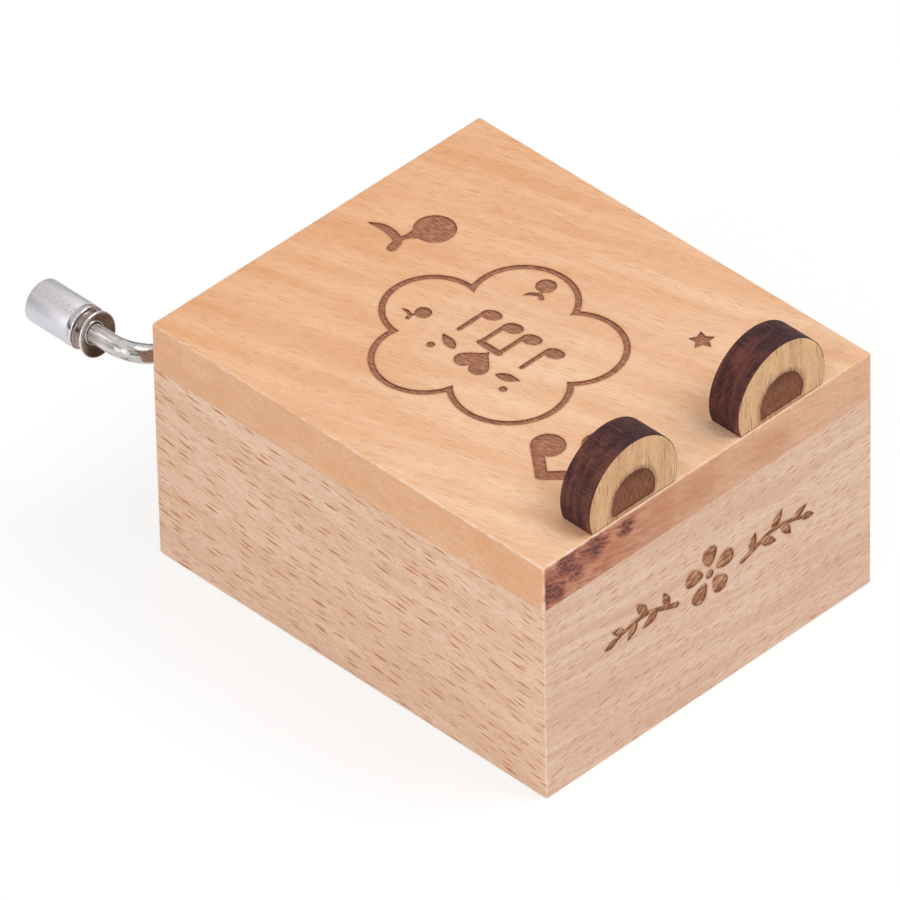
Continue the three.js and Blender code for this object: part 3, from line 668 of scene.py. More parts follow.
def burn(mesh, rim, motifs, to_flat, to_space, depth, fringe):
    """Fills the flat face inside rim and sinks it inside the motifs, with upright walls round them.
    A motif is a list of outlines: a point is inside where it lies within an odd number of them. Outlines are
    in millimetres on the face; the points round them carry the scorched fringe, which stops short of the
    face's foot."""
    layer = mesh.verts.layers.float["scorch"]
    outlines = [outline for motif in motifs for outline in motif]
    points = [to_flat(vertex.co) for vertex in rim]
    clear_of_foot = 0.05
    lowest = min(point.y for point in points) + clear_of_foot
    faces = [list(range(len(points)))]
    for outline in outlines:
        here = list(range(len(points), len(points) + len(outline)))
        faces.append(here if area_of(outline) > 0 else here[::-1])
        points += outline
    sides = []
    for outline in outlines:
        band = [Vector((point.x, max(point.y, lowest))) for point in moved_out(outline, fringe)]
        first = len(points)
        points += band
        sides += [(first + i, first + (i + 1) % len(band)) for i in range(len(band))]
    flat, _, triangles, came_from, _, inside = geometry.delaunay_2d_cdt(points, sides, faces, 1, 1e-5)

    def is_burned(within):
        start = 1
        for motif in motifs:
            count = sum(1 for i in range(start, start + len(motif)) if i in within)
            if count % 2:
                return True
            start += len(motif)
        return False

    burned = [is_burned(within) for within in inside]
    top = {}
    low = {}
    for i, point in enumerate(flat):
        on_rim = [k for k in came_from[i] if k < len(rim)]
        if on_rim:
            top[i] = rim[on_rim[0]]
            continue
        top[i] = mesh.verts.new(to_space(point, 0))
        away = min(distance_to(point, outline) for outline in outlines)
        top[i][layer] = max(0.0, 1 - away / fringe)

    def sunk(i):
        if i not in low:
            low[i] = mesh.verts.new(to_space(flat[i], depth))
            # The floor's points are marked half way; the walls darken upwards from there with char and
            # painted shade.
            low[i][layer] = 0.5
        return low[i]

    edges = {}
    for number, triangle in enumerate(triangles):
        for a, b in zip(triangle, triangle[1:] + triangle[:1]):
            edges[a, b] = number
        face = mesh.faces.new([sunk(i) if burned[number] else top[i] for i in triangle])
        face.material_index = 1 if burned[number] else 0
    for (a, b), number in edges.items():
        other = edges.get((b, a))
        if burned[number] and other is not None and not burned[other]:
            face = mesh.faces.new([sunk(a), top[a], top[b], sunk(b)])
            face.material_index = 1
    loose = [vertex for vertex in top.values() if not vertex.link_faces]
    bmesh.ops.delete(mesh, geom=loose, context="VERTS")


def lift_face(mesh, on_face):
    """Takes out the faces on a flat side and returns the points round the gap, in the faces' order."""
    faces = [face for face in mesh.faces if all(on_face(vertex.co) for vertex in face.verts)]
    ahead = {}
    for face in faces:
        for loop in face.loops:
            if any(other not in faces for other in loop.edge.link_faces):
                ahead[loop.vert] = loop.link_loop_next.vert
    ring = [next(iter(ahead))]
    while ahead[ring[-1]] is not ring[0]:
        ring.append(ahead[ring[-1]])
    bmesh.ops.delete(mesh, geom=faces, context="FACES")
    return ring


def board_rings(half, height, panel_top, rabbet_depth):
    """The rings of one mitred board, outer face on y = 0 and inner face towards +y, from its foot up.
    Also how worn each point is: the mitred corner and the lower edge are rubbed pale, with a painted
    highlight."""
    levels = [
        (foot_round * rise, foot_round * inset, rabbet_depth, rub_and_highlight / 2)
        for rise, inset, rub_and_highlight in quarter(arc_steps)
    ]
    levels += [
        (panel_top, 0, rabbet_depth, 0), (panel_top, 0, wall_thickness, 0),
        (height - joint_round, 0, wall_thickness, 0), (height, joint_round, wall_thickness, 0),
    ]
    rings = []
    wear_and_highlight_rows = []
    for z, inset, inner, rub_and_highlight in levels:
        radius = corner_round - inset
        ring = []
        wear_and_highlight = []
        for side in (-1, 1):
            for i in range(arc_steps + 1):
                step = i if side < 0 else arc_steps - i
                share = step / arc_steps
                turn = math.pi / 4 * (1 - share)
                x = half - corner_round + radius * math.sin(turn)
                y = corner_round - radius * math.cos(turn)
                ring.append(Vector((side * x, y, z)))
                # How pale the point is: rubbed wear with a painted highlight on the mitred corner and the
                # foot.
                wear_and_highlight.append(max((1 - share) ** 2, rub_and_highlight))
        ring += [Vector((half - inner, inner, z)), Vector((-half + inner, inner, z))]
        rings.append(ring)
        wear_and_highlight_rows.append(wear_and_highlight + [0, 0])
    return rings, wear_and_highlight_rows


def wall(name, half, turn, outer, materials, motifs=()):
    """One board, turned about the box's middle so that its outer face lies at the distance outer from it."""
    panel_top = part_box("bottom_panel")[1].z
    rabbet_depth = half_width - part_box("bottom_panel")[1].x - panel_gap
    mesh = start_mesh()
    made = stack(mesh, *board_rings(half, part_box(name)[1].z, panel_top, rabbet_depth))
    close_ends(mesh, made)
    if motifs:
        burn(
            mesh, lift_face(mesh, lambda point: abs(point.y) < 1e-7), motifs,
            lambda point: Vector((point.x, point.z)) / mm,
            lambda point, depth: Vector((point.x, depth, point.y)) * mm,
            burn_depth, burn_fringe,
        )
    move = Matrix.Rotation(turn, 4, "Z") @ Matrix.Translation((0, -outer, 0))
    bmesh.ops.transform(mesh, matrix=move, verts=mesh.verts)
    return finish_piece(name + "_board", mesh, materials, "box", "beech", name)


front_grain = wood(
    "front_beech", (1, 0, -0.08), (0, 0, 1), (229, 196, 171), (215, 177, 148), (198, 128, 92),
    (2.7, 0.4), 0.5, 0.85, fleck_tilt=math.radians(12), streak_width=1.2, fibre_strength=0.4,
    start=(3, 1, 40), grit=0.26,
)
back_grain = wood(
    "back_beech", (1, 0, -0.04), (0, 0, 1), (226, 190, 163), (210, 170, 141), (190, 130, 102),
    (3.0, 0.55), 0.6, 0.75, fleck_tilt=math.radians(6), start=(17, 5, 9),
)
side_grain = wood(
    "side_beech", (0, -1, -0.075), (0, 0, 1), (233, 197, 168), (221, 181, 150), (184, 110, 62),
    (4.5, 0.52), 0.48, 1.0, streak_width=2.0, fibre_size=(0.9, 0.15), fibre_strength=0.5, start=(5, 2, 6),
    grit=0.3,
)
far_side_grain = wood(
    "far_side_beech", (0, -1, 0.05), (0, 0, 1), (230, 194, 165), (217, 178, 147), (188, 120, 80),
    (5.0, 0.44), 0.38, 0.85, streak_width=2.2, start=(31, 7, 2), grit=0.2,
)
front_burn = scorched(
    "front_burn", (0.974, 0, 0.225), (-0.225, 0, 0.974), (116, 68, 44), (204, 146, 110), (232, 188, 154),
    streak=(1.3, 0.13, 0.13), share=1.0, wall_char_and_shade=0.5,
)
wall("front_wall", half_width, 0, half_length, [front_grain, front_burn], flower_band())
back = wall("back_wall", half_width, math.pi, half_length, [back_grain])
wall("left_wall", half_length, -math.pi / 2, half_width, [side_grain])
wall("right_wall", half_length, math.pi / 2, half_width, [far_side_grain])

shaft_x = middle_of("worm_shaft").x
shaft_z = middle_of("worm_shaft").z
drill = start_mesh()
drill_length = 4 * wall_thickness
lathe(
    drill, [(0, 0), (crank_hole_radius, 0), (crank_hole_radius, drill_length), (0, drill_length)],
    (shaft_x, half_length - drill_length / 2, shaft_z), (0, 1, 0), 48,
)
cut_away(back, drill)


# Bottom panel
# A 3 mm beech board that lies in the walls' rabbet. Seven countersunk holes take the screws: four hold the
# panel on the side walls, and three come up through it into the movement.

panel_round = 0.2 * mm
screw_clearance = 0.1 * mm
panel_head_height = 0.7 * mm
movement_head_height = 1 * mm
movement_screws = [f"movement_screw_{i}" for i in (1, 2, 3)]
panel_screws = [f"panel_screw_{i}" for i in (1, 2, 3, 4)]


def rounded_rectangle(half_x, half_y, radius):
    points = []
    for i, (x, y) in enumerate(((1, 1), (-1, 1), (-1, -1), (1, -1))):
        centre = (x * (half_x - radius), y * (half_y - radius))
        points += arc(centre, radius, 90 * i, 90 * (i + 1), arc_steps)
    return points


def bottom_panel():
    low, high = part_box("bottom_panel")
    rings = []
    for z, inset in (
        (low.z, panel_round), (low.z + panel_round, 0), (high.z - panel_round, 0), (high.z, panel_round),
    ):
        outline = rounded_rectangle(high.x - inset, high.y - inset, panel_round * 2 - inset)
        rings.append([Vector((x, y, z)) for x, y in outline])
    mesh = start_mesh()
    close_ends(mesh, stack(mesh, rings))
    grain = wood(
        "panel_beech", (0.05, 1, 0), (1, 0, 0), (224, 188, 158), (206, 166, 136), (186, 122, 88),
        (3.0, 0.5), 0.5, 0.7, streak_width=3.0, start=(4, 12, 1), end_tone=(196, 150, 120),
    )
    piece = finish_piece("panel_board", mesh, [grain], "box", "panel_wood", "bottom_panel")
    drill = start_mesh()
    outside = low.z - mm
    inside = high.z + mm
    for name in panel_screws + movement_screws:
        screw_low, screw_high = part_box(name)
        head = (screw_high.x - screw_low.x) / 2 + screw_clearance
        shank = head - (panel_head_height if name in panel_screws else movement_head_height)
        place = middle_of(name)
        place.z = 0
        profile = [
            (0, outside), (head, outside), (head, 0), (shank, head - shank), (shank, inside), (0, inside),
        ]
        lathe(drill, profile, place, (0, 0, 1), 40)
    cut_away(piece, drill)


bottom_panel()


# Screws from below
# Zinc-plated steel, with a countersunk head and a crossed recess. The four wood screws are 9 mm long with a
# sharp thread; the three shorter ones go into tapped holes in the movement's bedplate.

def fine_noise(tree, place, scale, detail):
    return add_node(
        tree, "ShaderNodeTexNoise", {"Vector": place, "Scale": scale, "Detail": detail},
    ).outputs["Fac"]


def zinc_plating():
    """Polished plating: nearly a mirror, with faint long waves and a few dull smears."""
    material, tree, place = new_material("zinc_plated")
    waves = fine_noise(tree, place, 420.0, 2.0)
    smears = fine_noise(tree, place, 900.0, 4.0)
    set_shader(
        tree, metallic=1, base_color=mix(tree, smears, colour(196, 198, 200), colour(208, 210, 212)),
        roughness=calc(tree, "MULTIPLY_ADD", fade(tree, smears, 0.4, 0.8), 0.14, 0.24),
        normal=bumps(tree, waves, 0.15, 0.1 * mm),
    )
    return material


def input_named(tree, name, kind, value):
    """Gives a geometry tree a named input, and returns its identifier."""
    socket = tree.interface.new_socket(name, in_out="INPUT", socket_type=kind)
    if value is not None:
        socket.default_value = value
    return socket.identifier


def end_tree(tree, shape, finish, name):
    """Makes the tree's instances real, gives them their finish and sends them out."""
    tree.interface.new_socket(name, in_out="OUTPUT", socket_type="NodeSocketGeometry")
    real = add_node(tree, "GeometryNodeRealizeInstances", {"Geometry": shape})
    painted = add_node(tree, "GeometryNodeSetMaterial", {"Geometry": real.outputs[0], "Material": finish})
    add_node(tree, "NodeGroupOutput", {name: painted.outputs[0]})


def made_by(tree, base, values):
    """Runs a geometry tree on an object and returns the result as a plain mesh; base is removed."""
    tool = base.modifiers.new("made", "NODES")
    tool.node_group = tree
    for identifier, value in values.items():
        tool[identifier] = value
    seen = bpy.context.evaluated_depsgraph_get()
    mesh = bpy.data.meshes.new_from_object(base.evaluated_get(seen))
    base.modifiers.remove(tool)
    bpy.data.objects.remove(base)
    return mesh


def screw_tree():
    """Like screws, one at each given point, head down: head with its recess, shank, thread and tip."""
    tree = bpy.data.node_groups.new("screws", "GeometryNodeTree")
    input_named(tree, "Places", "NodeSocketGeometry", None)
    ids = {}
    for key, label in (
        ("head", "Head Radius"), ("neck", "Neck Radius"), ("height", "Head Height"),
        ("shank", "Shank Radius"), ("length", "Length"), ("tip", "Tip Length"), ("pitch", "Pitch"),
        ("thread", "Thread Depth"), ("slot", "Slot Width"), ("arm", "Slot Length"),
        ("cross", "Cross Length"), ("depth", "Slot Depth"),
    ):
        ids[key] = input_named(tree, label, "NodeSocketFloat", mm)
    ids["turn"] = input_named(tree, "Turn", "NodeSocketVector", (0, 0, 0))
    ids["finish"] = input_named(tree, "Finish", "NodeSocketMaterial", None)
    given = add_node(tree, "NodeGroupInput").outputs

    def upwards(*values):
        return add_node(tree, "ShaderNodeCombineXYZ", dict(zip("XYZ", values))).outputs[0]

    def moved(mesh, height):
        inputs = {"Geometry": mesh, "Translation": upwards(0.0, 0.0, height)}
        return add_node(tree, "GeometryNodeTransform", inputs).outputs[0]

    def cone(foot, top, height):
        inputs = {"Vertices": 32, "Radius Bottom": foot, "Radius Top": top, "Depth": height}
        return add_node(tree, "GeometryNodeMeshCone", inputs).outputs["Mesh"]

    def bar(length, width):
        size = upwards(length, width, product(tree, given["Slot Depth"], 2.0))
        return add_node(tree, "GeometryNodeMeshCube", {"Size": size}).outputs["Mesh"]

    head = cone(given["Head Radius"], given["Neck Radius"], given["Head Height"])
    cut = add_node(tree, "GeometryNodeMeshBoolean", {"Mesh 1": head}, operation="DIFFERENCE", solver="EXACT")
    tree.links.new(bar(given["Slot Length"], given["Slot Width"]), cut.inputs["Mesh 2"])
    tree.links.new(bar(given["Slot Width"], given["Cross Length"]), cut.inputs["Mesh 2"])
    core = calc(tree, "SUBTRACT", given["Shank Radius"], given["Thread Depth"])
    straight = calc(tree, "SUBTRACT", given["Length"], given["Tip Length"])
    below_head = product(tree, given["Head Height"], 0.9)
    shank = moved(cone(core, core, calc(tree, "SUBTRACT", straight, below_head)), below_head)
    tip = moved(cone(core, product(tree, core, 0.35), given["Tip Length"]), straight)
    threaded = calc(tree, "SUBTRACT", straight, given["Head Height"])
    spiral = add_node(tree, "GeometryNodeCurveSpiral", {
        "Resolution": 20, "Rotations": calc(tree, "DIVIDE", threaded, given["Pitch"]),
        "Start Radius": core, "End Radius": core, "Height": threaded,
    })
    ridge = add_node(tree, "GeometryNodeCurvePrimitiveCircle", {
        "Resolution": 4, "Radius": given["Thread Depth"],
    })
    inputs = {"Curve": spiral.outputs[0], "Profile Curve": ridge.outputs["Curve"], "Fill Caps": True}
    thread = moved(add_node(tree, "GeometryNodeCurveToMesh", inputs).outputs[0], given["Head Height"])
    screw = add_node(tree, "GeometryNodeJoinGeometry")
    for part in (cut.outputs["Mesh"], shank, tip, thread):
        tree.links.new(part, screw.inputs["Geometry"])
    inputs = {"Points": given["Places"], "Instance": screw.outputs[0], "Rotation": given["Turn"]}
    row = add_node(tree, "GeometryNodeInstanceOnPoints", inputs)
    end_tree(tree, row.outputs[0], given["Finish"], "Screws")
    return tree, ids


screw_steel = zinc_plating()
screws_made_by, screw_inputs = screw_tree()


def screws(name, stands_for, from_above=False, **sizes):
    """A group of like screws in one mesh; each stands on its CAD node's middle, head at the right end."""
    places = []
    for node in stands_for:
        low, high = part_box(node)
        places.append((*middle_of(node).xy, high.z if from_above else low.z))
    points = bpy.data.meshes.new(name)
    points.from_pydata(places, [], [])
    turn = (math.pi if from_above else 0.0, 0.0, 0.0)
    values = {**sizes, "length": high.z - low.z, "finish": screw_steel, "turn": turn}
    inputs = {screw_inputs[key]: value for key, value in values.items()}
    data = made_by(screws_made_by, add_object(name, points), inputs)
    add_piece(name, data, "box", "screw_steel", *stands_for)


screws(
    "panel_wood_screws", panel_screws, head=1.5 * mm, neck=0.8 * mm, height=panel_head_height,
    shank=0.8 * mm, tip=1.6 * mm, pitch=0.7 * mm, thread=0.2 * mm, slot=0.45 * mm, arm=1.7 * mm,
    cross=1.7 * mm, depth=0.45 * mm,
)
screws(
    "movement_screws", movement_screws, head=2 * mm, neck=1 * mm, height=movement_head_height,
    shank=1 * mm, tip=0.4 * mm, pitch=0.4 * mm, thread=0.12 * mm, slot=0.5 * mm, arm=2.3 * mm,
    cross=2.3 * mm, depth=0.55 * mm,
)


# Movement
# The bedplate is die-cast zinc. Its two bearing brackets are bent from steel sheet, and a hardened steel comb
# of eighteen teeth is screwed on its seat, all with slotted cheese-head screws.

bracket_screws = [f"{side}_bracket_screw_{i}" for side in ("gear", "cylinder") for i in (1, 2)]
comb_screws = [f"comb_screw_{i}" for i in (1, 2)]
cheese_head = {
    "head": 1.6 * mm, "neck": 1.6 * mm, "height": 1.1 * mm, "tip": 0.3 * mm, "thread": 0.08 * mm,
    "shank": 0.9 * mm, "pitch": 0.35 * mm, "slot": 0.4 * mm, "arm": 4 * mm, "cross": 0.4 * mm,
    "depth": 0.5 * mm,
}


def dress(material, *names):
    """Gives CAD nodes a finish of their own."""
    for name in names:
        for place in nodes[name].material_slots:
            place.material = material


def cast_zinc():
    """Grey die-cast metal with flow marks and fine dark pits."""
    material, tree, place = new_material("cast_zinc")
    pits = fine_noise(tree, place, 2600.0, 3.0)
    shade = mix(tree, fine_noise(tree, place, 260.0, 2.0), colour(150, 152, 156), colour(184, 186, 190))
    set_shader(
        tree, metallic=1, base_color=coat(tree, shade, (128, 128, 130), fade(tree, pits, 0.6, 0.75)),
        roughness=calc(tree, "MULTIPLY_ADD", pits, 0.25, 0.4), normal=bumps(tree, pits, 0.4, 0.05 * mm),
    )
    return material


def ground_metal(name, low_tone, high_tone, marks_run, roughness):
    """Sheet or bar metal with fine grinding lines along one direction, and a few dull stains."""
    material, tree, place = new_material(name)
    size = Vector([6.0 if axis in marks_run else 0.08 for axis in "xyz"]) * mm
    lines = clouds(tree, place, size, 3.0, roughness=0.5)
    stain = fade(tree, fine_noise(tree, place, 500.0, 3.0), 0.55, 0.8)
    shade = mix(tree, lines, colour(*low_tone), colour(*high_tone))
    dull = mix(tree, 0.5, colour(*low_tone), (0.1, 0.08, 0.06, 1))
    set_shader(
        tree, metallic=1, base_color=coat(tree, shade, dull, stain, 0.5),
        roughness=calc(tree, "MULTIPLY_ADD", lines, 0.2, roughness),
        normal=bumps(tree, lines, 0.2, 0.02 * mm),
    )
    return material


dress(cast_zinc(), "bedplate")
dress(
    ground_metal("bracket_steel", (160, 160, 164), (200, 200, 204), "z", 0.3),
    "gear_bracket", "cylinder_bracket",
)
dress(ground_metal("comb_steel", (168, 168, 172), (214, 214, 218), "y", 0.2), "comb")
screws("bracket_screws", bracket_screws, from_above=True, **cheese_head)
screws("comb_screws", comb_screws, from_above=True, **cheese_head)


# Pinned cylinder and its gearing
# A brass tube with fifty-six fine pins, closed by turned brass caps and pressed on a steel arbor. A brass
# worm wheel on the arbor meshes with the steel worm on the crank's shaft, twenty turns to one.

brass = ground_metal("turned_brass", (176, 138, 72), (216, 180, 112), "", 0.22)
dress(brass, "pinned_cylinder", "left_end_cap", "right_end_cap", "worm_wheel")
shaft_steel = ground_metal("shaft_steel", (158, 158, 164), (206, 206, 210), "xz", 0.24)
dress(shaft_steel, "cylinder_arbor", "worm_shaft")


# Lid
# One flat-sawn beech board, 6.4 mm thick, glued on the walls with its edges eased. A laser has burned the
# ornaments a fifth of a millimetre into it: a five-lobed frame with notes and a heart, and round it
# a quaver, two beamed notes and a star.

lid_low, lid_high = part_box("lid")
lid_corner_round = 0.4 * mm
lid_edge_round = 0.3 * mm
frame_line = 0.8
lobe_discs = [
    ((-2.42, 10.29), 5.98), ((-9.4, 4.57), 6.3), ((-6.08, -5.91), 7.0),
    ((3.51, -6.3), 6.53), ((5.86, 3.72), 6.41),
]


def union_of_discs(discs):
    """The outline of discs set in a ring, each overlapping the next: one arc per disc, met at the cusps."""
    middle = sum((Vector(centre) for centre, _ in discs), Vector((0, 0))) / len(discs)

    def cusp(first, second):
        (a, ra), (b, rb) = first, second
        apart = Vector(b) - Vector(a)
        along = (ra * ra - rb * rb + apart.length_squared) / (2 * apart.length)
        off = math.sqrt(ra * ra - along * along)
        foot = Vector(a) + apart.normalized() * along
        side = Vector((apart.y, -apart.x)).normalized() * off
        return max((foot + side, foot - side), key=lambda point: (point - middle).length)

    outline = []
    for before, here, after in zip(discs[-1:] + discs[:-1], discs, discs[1:] + discs[:1]):
        centre, radius = here
        start = cusp(before, here) - Vector(centre)
        end = cusp(here, after) - Vector(centre)
        low = math.degrees(math.atan2(start.y, start.x))
        high = math.degrees(math.atan2(end.y, end.x))
        outline += arc(centre, radius, low, high if high > low else high + 360, 28)[:-1]
    return outline


def quaver(head, neck, head_share=0.61, weight=1.0):
    """A round note head, a tapered neck, and a short stem whose flag curls back over the head."""
    head = Vector(head)
    unit = Vector(neck) - head
    across = Vector((-unit.y, unit.x))

    def at(*places):
        return [head + unit * far + across * off for far, off in places]

    def widths(*shares):
        return [unit.length * weight * share for share in shares]

    neck_stroke = stroke(at((0.3, 0), (0.62, 0), (0.8, 0), (1.02, 0.02)), widths(0.62, 0.38, 0.2, 0.18))
    stem = smooth_path(at((1.4, 0.3), (1.14, 0.06), (1.15, -0.34), (1.3, -0.7), (1.55, -1.0)), 6)
    flag = stroke(stem, widths(0.3, 0.27, 0.3, 0.26, 0.05))
    return [[disc(head, unit.length * head_share)], [neck_stroke], [flag]]


def beamed_notes(head, partner, corner, radius, stem_width, beam_width):
    """Two notes side by side whose stems run to one thick beam."""
    head = Vector(head)
    apart = Vector(partner) - head
    across = apart.normalized()
    root = head - across * (radius - stem_width / 2)
    far = Vector(corner) + across * stem_width / 2
    along = (far - root).normalized()
    far = far - along * beam_width / 2
    beam = stroke([far, far + apart], [beam_width, beam_width])
    stems = [stroke([root + step, far + step], [stem_width, stem_width]) for step in (Vector((0, 0)), apart)]
    return [[disc(head, radius)], [disc(partner, radius)], [beam], [stems[0]], [stems[1]]]


def crotchet(place, up, partner_at=0.0, height=4.4, head=(1.3, 0.95), stem_width=0.62):
    """A note with a tilted oval head and a straight stem. With a partner beside it, their stems share
    a beam."""
    up = Vector(up).normalized()
    right = Vector((up.y, -up.x))
    root_height = 0.3
    motifs = []
    stem_tops = []
    for off in (0.0, partner_at) if partner_at else (0.0,):
        middle = Vector(place) + right * off
        oval = []
        for point in disc((0, 0), 1, 28):
            tilted = Matrix.Rotation(math.radians(22), 2) @ Vector((point.x * head[0], point.y * head[1]))
            oval.append(middle + right * tilted.x + up * tilted.y)
        root = middle + right * (head[0] - stem_width * 0.6) + up * root_height
        top = root + up * (height - root_height)
        motifs += [[oval], [stroke([root, top], [stem_width, stem_width])]]
        stem_tops.append(top)
    if partner_at:
        motifs.append([stroke(stem_tops, [stem_width * 1.5, stem_width * 1.5])])
    return motifs


def star(centre, radius, first_tip, inner_share=0.52):
    points = []
    for i in range(10):
        reach = radius * (inner_share if i % 2 else 1)
        points.append(Vector(centre) + heading(first_tip + 36 * i)[0] * reach)
    return [[points]]


def heart(centre, size, up):
    """A plain heart, from the usual curve, with its tip away from up."""
    up = Vector(up).normalized()
    right = Vector((up.y, -up.x))
    points = []
    for i in range(60):
        t = -2 * math.pi * i / 60
        x = 16 * math.sin(t) ** 3
        y = 13 * math.cos(t) - 5 * math.cos(2 * t) - 2 * math.cos(3 * t) - math.cos(4 * t)
        points.append(Vector(centre) + (right * x + up * y) * (size / 32))
    return [[points]]


def lid_ornaments():
    """The frame, and what stands in it and round it. The crotchets and the heart stand upright as seen from
    the right."""
    rims = [union_of_discs([(centre, radius + off) for centre, radius in lobe_discs])
            for off in (frame_line / 2, -frame_line / 2)]
    to_left = (-1, 0)
    motifs = [[rims[0], rims[1][::-1]]]
    motifs += quaver((8.27, 20.69), (4.33, 22.31))
    motifs += quaver((9.7, 3.83), (8.13, 3.28), 0.76, 1.3)
    motifs += quaver((-3.67, 10.66), (-4.88, 11.38), 0.73, 1.3)
    motifs += beamed_notes((-10.83, -16.81), (-6.61, -20.92), (-16.3, -20.2), 2.1, 1.5, 1.6)
    motifs += star((15.1, -16.2), 1.65, 121)
    motifs += heart((-5.9, 0), 4.8, to_left)
    motifs += [[leaf((-5.9, side * 3.3), side * 70, 3.2, 1.5)] for side in (1, -1)]
    motifs += [[disc((-7.2, side * 5.9), 0.5, 24)] for side in (1, -1)]
    motifs += crotchet((1.5, -5.6), to_left)
    motifs += crotchet((1.5, 4.6), to_left)
    motifs += crotchet((1.5, -1.9), to_left, 3.0)
    return motifs


def lid_stains_and_painted_light(tree, place, shade, end_grain):
    """The stained end grain of the lid's front edge, reddish with dark spots towards its left corner, and a
    painted light gradient over its top, cooler and paler towards the front and in the middle."""
    parts = parts_of(tree, place)
    near = fade(tree, parts["X"], 0.45 * half_width, -0.8 * half_width)
    nearest = fade(tree, parts["X"], -0.15 * half_width, -0.85 * half_width)
    front = product(tree, end_grain, fade(tree, parts["Y"], 0.0, -half_length))

    def blots(size, turn, low, high):
        return fade(tree, clouds(tree, place, Vector(size) * mm, 2.0, (0, turn, 0)), low, high)

    drift = calc(tree, "SUBTRACT", blots((2.4, 4, 0.5), 0.3, 0.2, 0.8), 0.5)
    wandered = vector_calc(tree, "MULTIPLY_ADD", drift, (2.2 * mm, 0, -0.6 * mm), place)

    def spots_at(*spots):
        """Soft, uneven spots on the front edge. Each is given by its distance from the lid's left corner and
        from its top, and by half its width and half its height, in millimetres."""
        found = 0.0
        for along_edge, below_top, half_wide, half_high in spots:
            middle = Vector((lid_low.x + along_edge * mm, 0, lid_high.z - below_top * mm))
            off = vector_calc(tree, "SUBTRACT", wandered, middle)
            off = vector_calc(tree, "MULTIPLY", off, (1 / (half_wide * mm), 0, 1 / (half_high * mm)))
            away = vector_calc(tree, "LENGTH", off, result="Value")
            found = calc(tree, "MAXIMUM", found, fade(tree, away, 1.6, 0.3))
        return found

    spots = spots_at(
        (0.5, 3.8, 1.3, 2.6), (2.0, 4.4, 1.5, 1.6), (3.7, 1.5, 1.8, 1.7), (5.3, 3.3, 1.2, 1.5),
        (8.3, 1.7, 1.8, 1.8), (13.4, 1.8, 1.4, 1.2),
    )
    smudges = spots_at((11, 3.6, 3.4, 2.2), (19.5, 2.6, 2.0, 3.0), (25.5, 3.0, 3.2, 2.4), (37, 3.6, 3.6, 2.4))
    red = blots((2.6, 4, 0.7), 0.3, 0.42, 0.62)
    grey = blots((5, 4, 0.8), 0.1, 0.42, 0.68)
    mottle = blots((1.9, 4, 0.36), 0.3, 0.3, 0.66)
    scratches = calc(
        tree, "MAXIMUM", blots((0.1, 1, 2.4), 0.75, 0.56, 0.68), blots((0.1, 1, 2.0), -0.6, 0.58, 0.7),
    )
    uneven = product(tree, spots, calc(tree, "MULTIPLY_ADD", mottle, -0.4, 1.0))
    for tone, *shares in (
        ((176, 132, 104), grey, 0.3),
        ((194, 134, 100), calc(tree, "MULTIPLY_ADD", near, 0.75, 0.2)),
        ((164, 98, 70), near, red, 0.4),
        ((146, 80, 58), nearest, red, 0.6),
        ((186, 114, 78), smudges, 0.45),
        ((146, 74, 56), fade(tree, uneven, 0.0, 0.5), 0.85),
        ((72, 22, 20), fade(tree, uneven, 0.35, 0.95), 0.95),
        ((206, 156, 132), calc(tree, "MULTIPLY_ADD", nearest, 0.7, 0.3), scratches, 0.7),
    ):
        shade = coat(tree, shade, tone, front, *shares)

    # Painted light on the top faces only: paler and cooler towards the front and the middle, browner at the
    # back and a little darker to the right.
    normal = add_node(tree, "ShaderNodeTexCoord").outputs["Normal"]
    upwards = fade(tree, parts_of(tree, normal)["Z"], 0.5, 0.9)
    from_centre = vector_calc(tree, "DISTANCE", place, (0, 0, lid_high.z), result="Value")
    for tint, share in (
        ((0.985, 0.915, 0.84), fade(tree, parts["Y"], -0.1 * half_length, 1.1 * half_length)),
        ((0.99, 0.97, 0.95), fade(tree, parts["X"], 0.3 * half_width, half_width)),
        ((1.01, 1.05, 1.09), fade(tree, from_centre, 15 * mm, 7 * mm)),
        ((1.05, 1.12, 1.19), fade(tree, parts["Y"], 0.35 * half_length, -0.9 * half_length)),
    ):
        shade = coat(tree, shade, (*tint, 1), share, upwards, blend_type="MULTIPLY")
    return shade


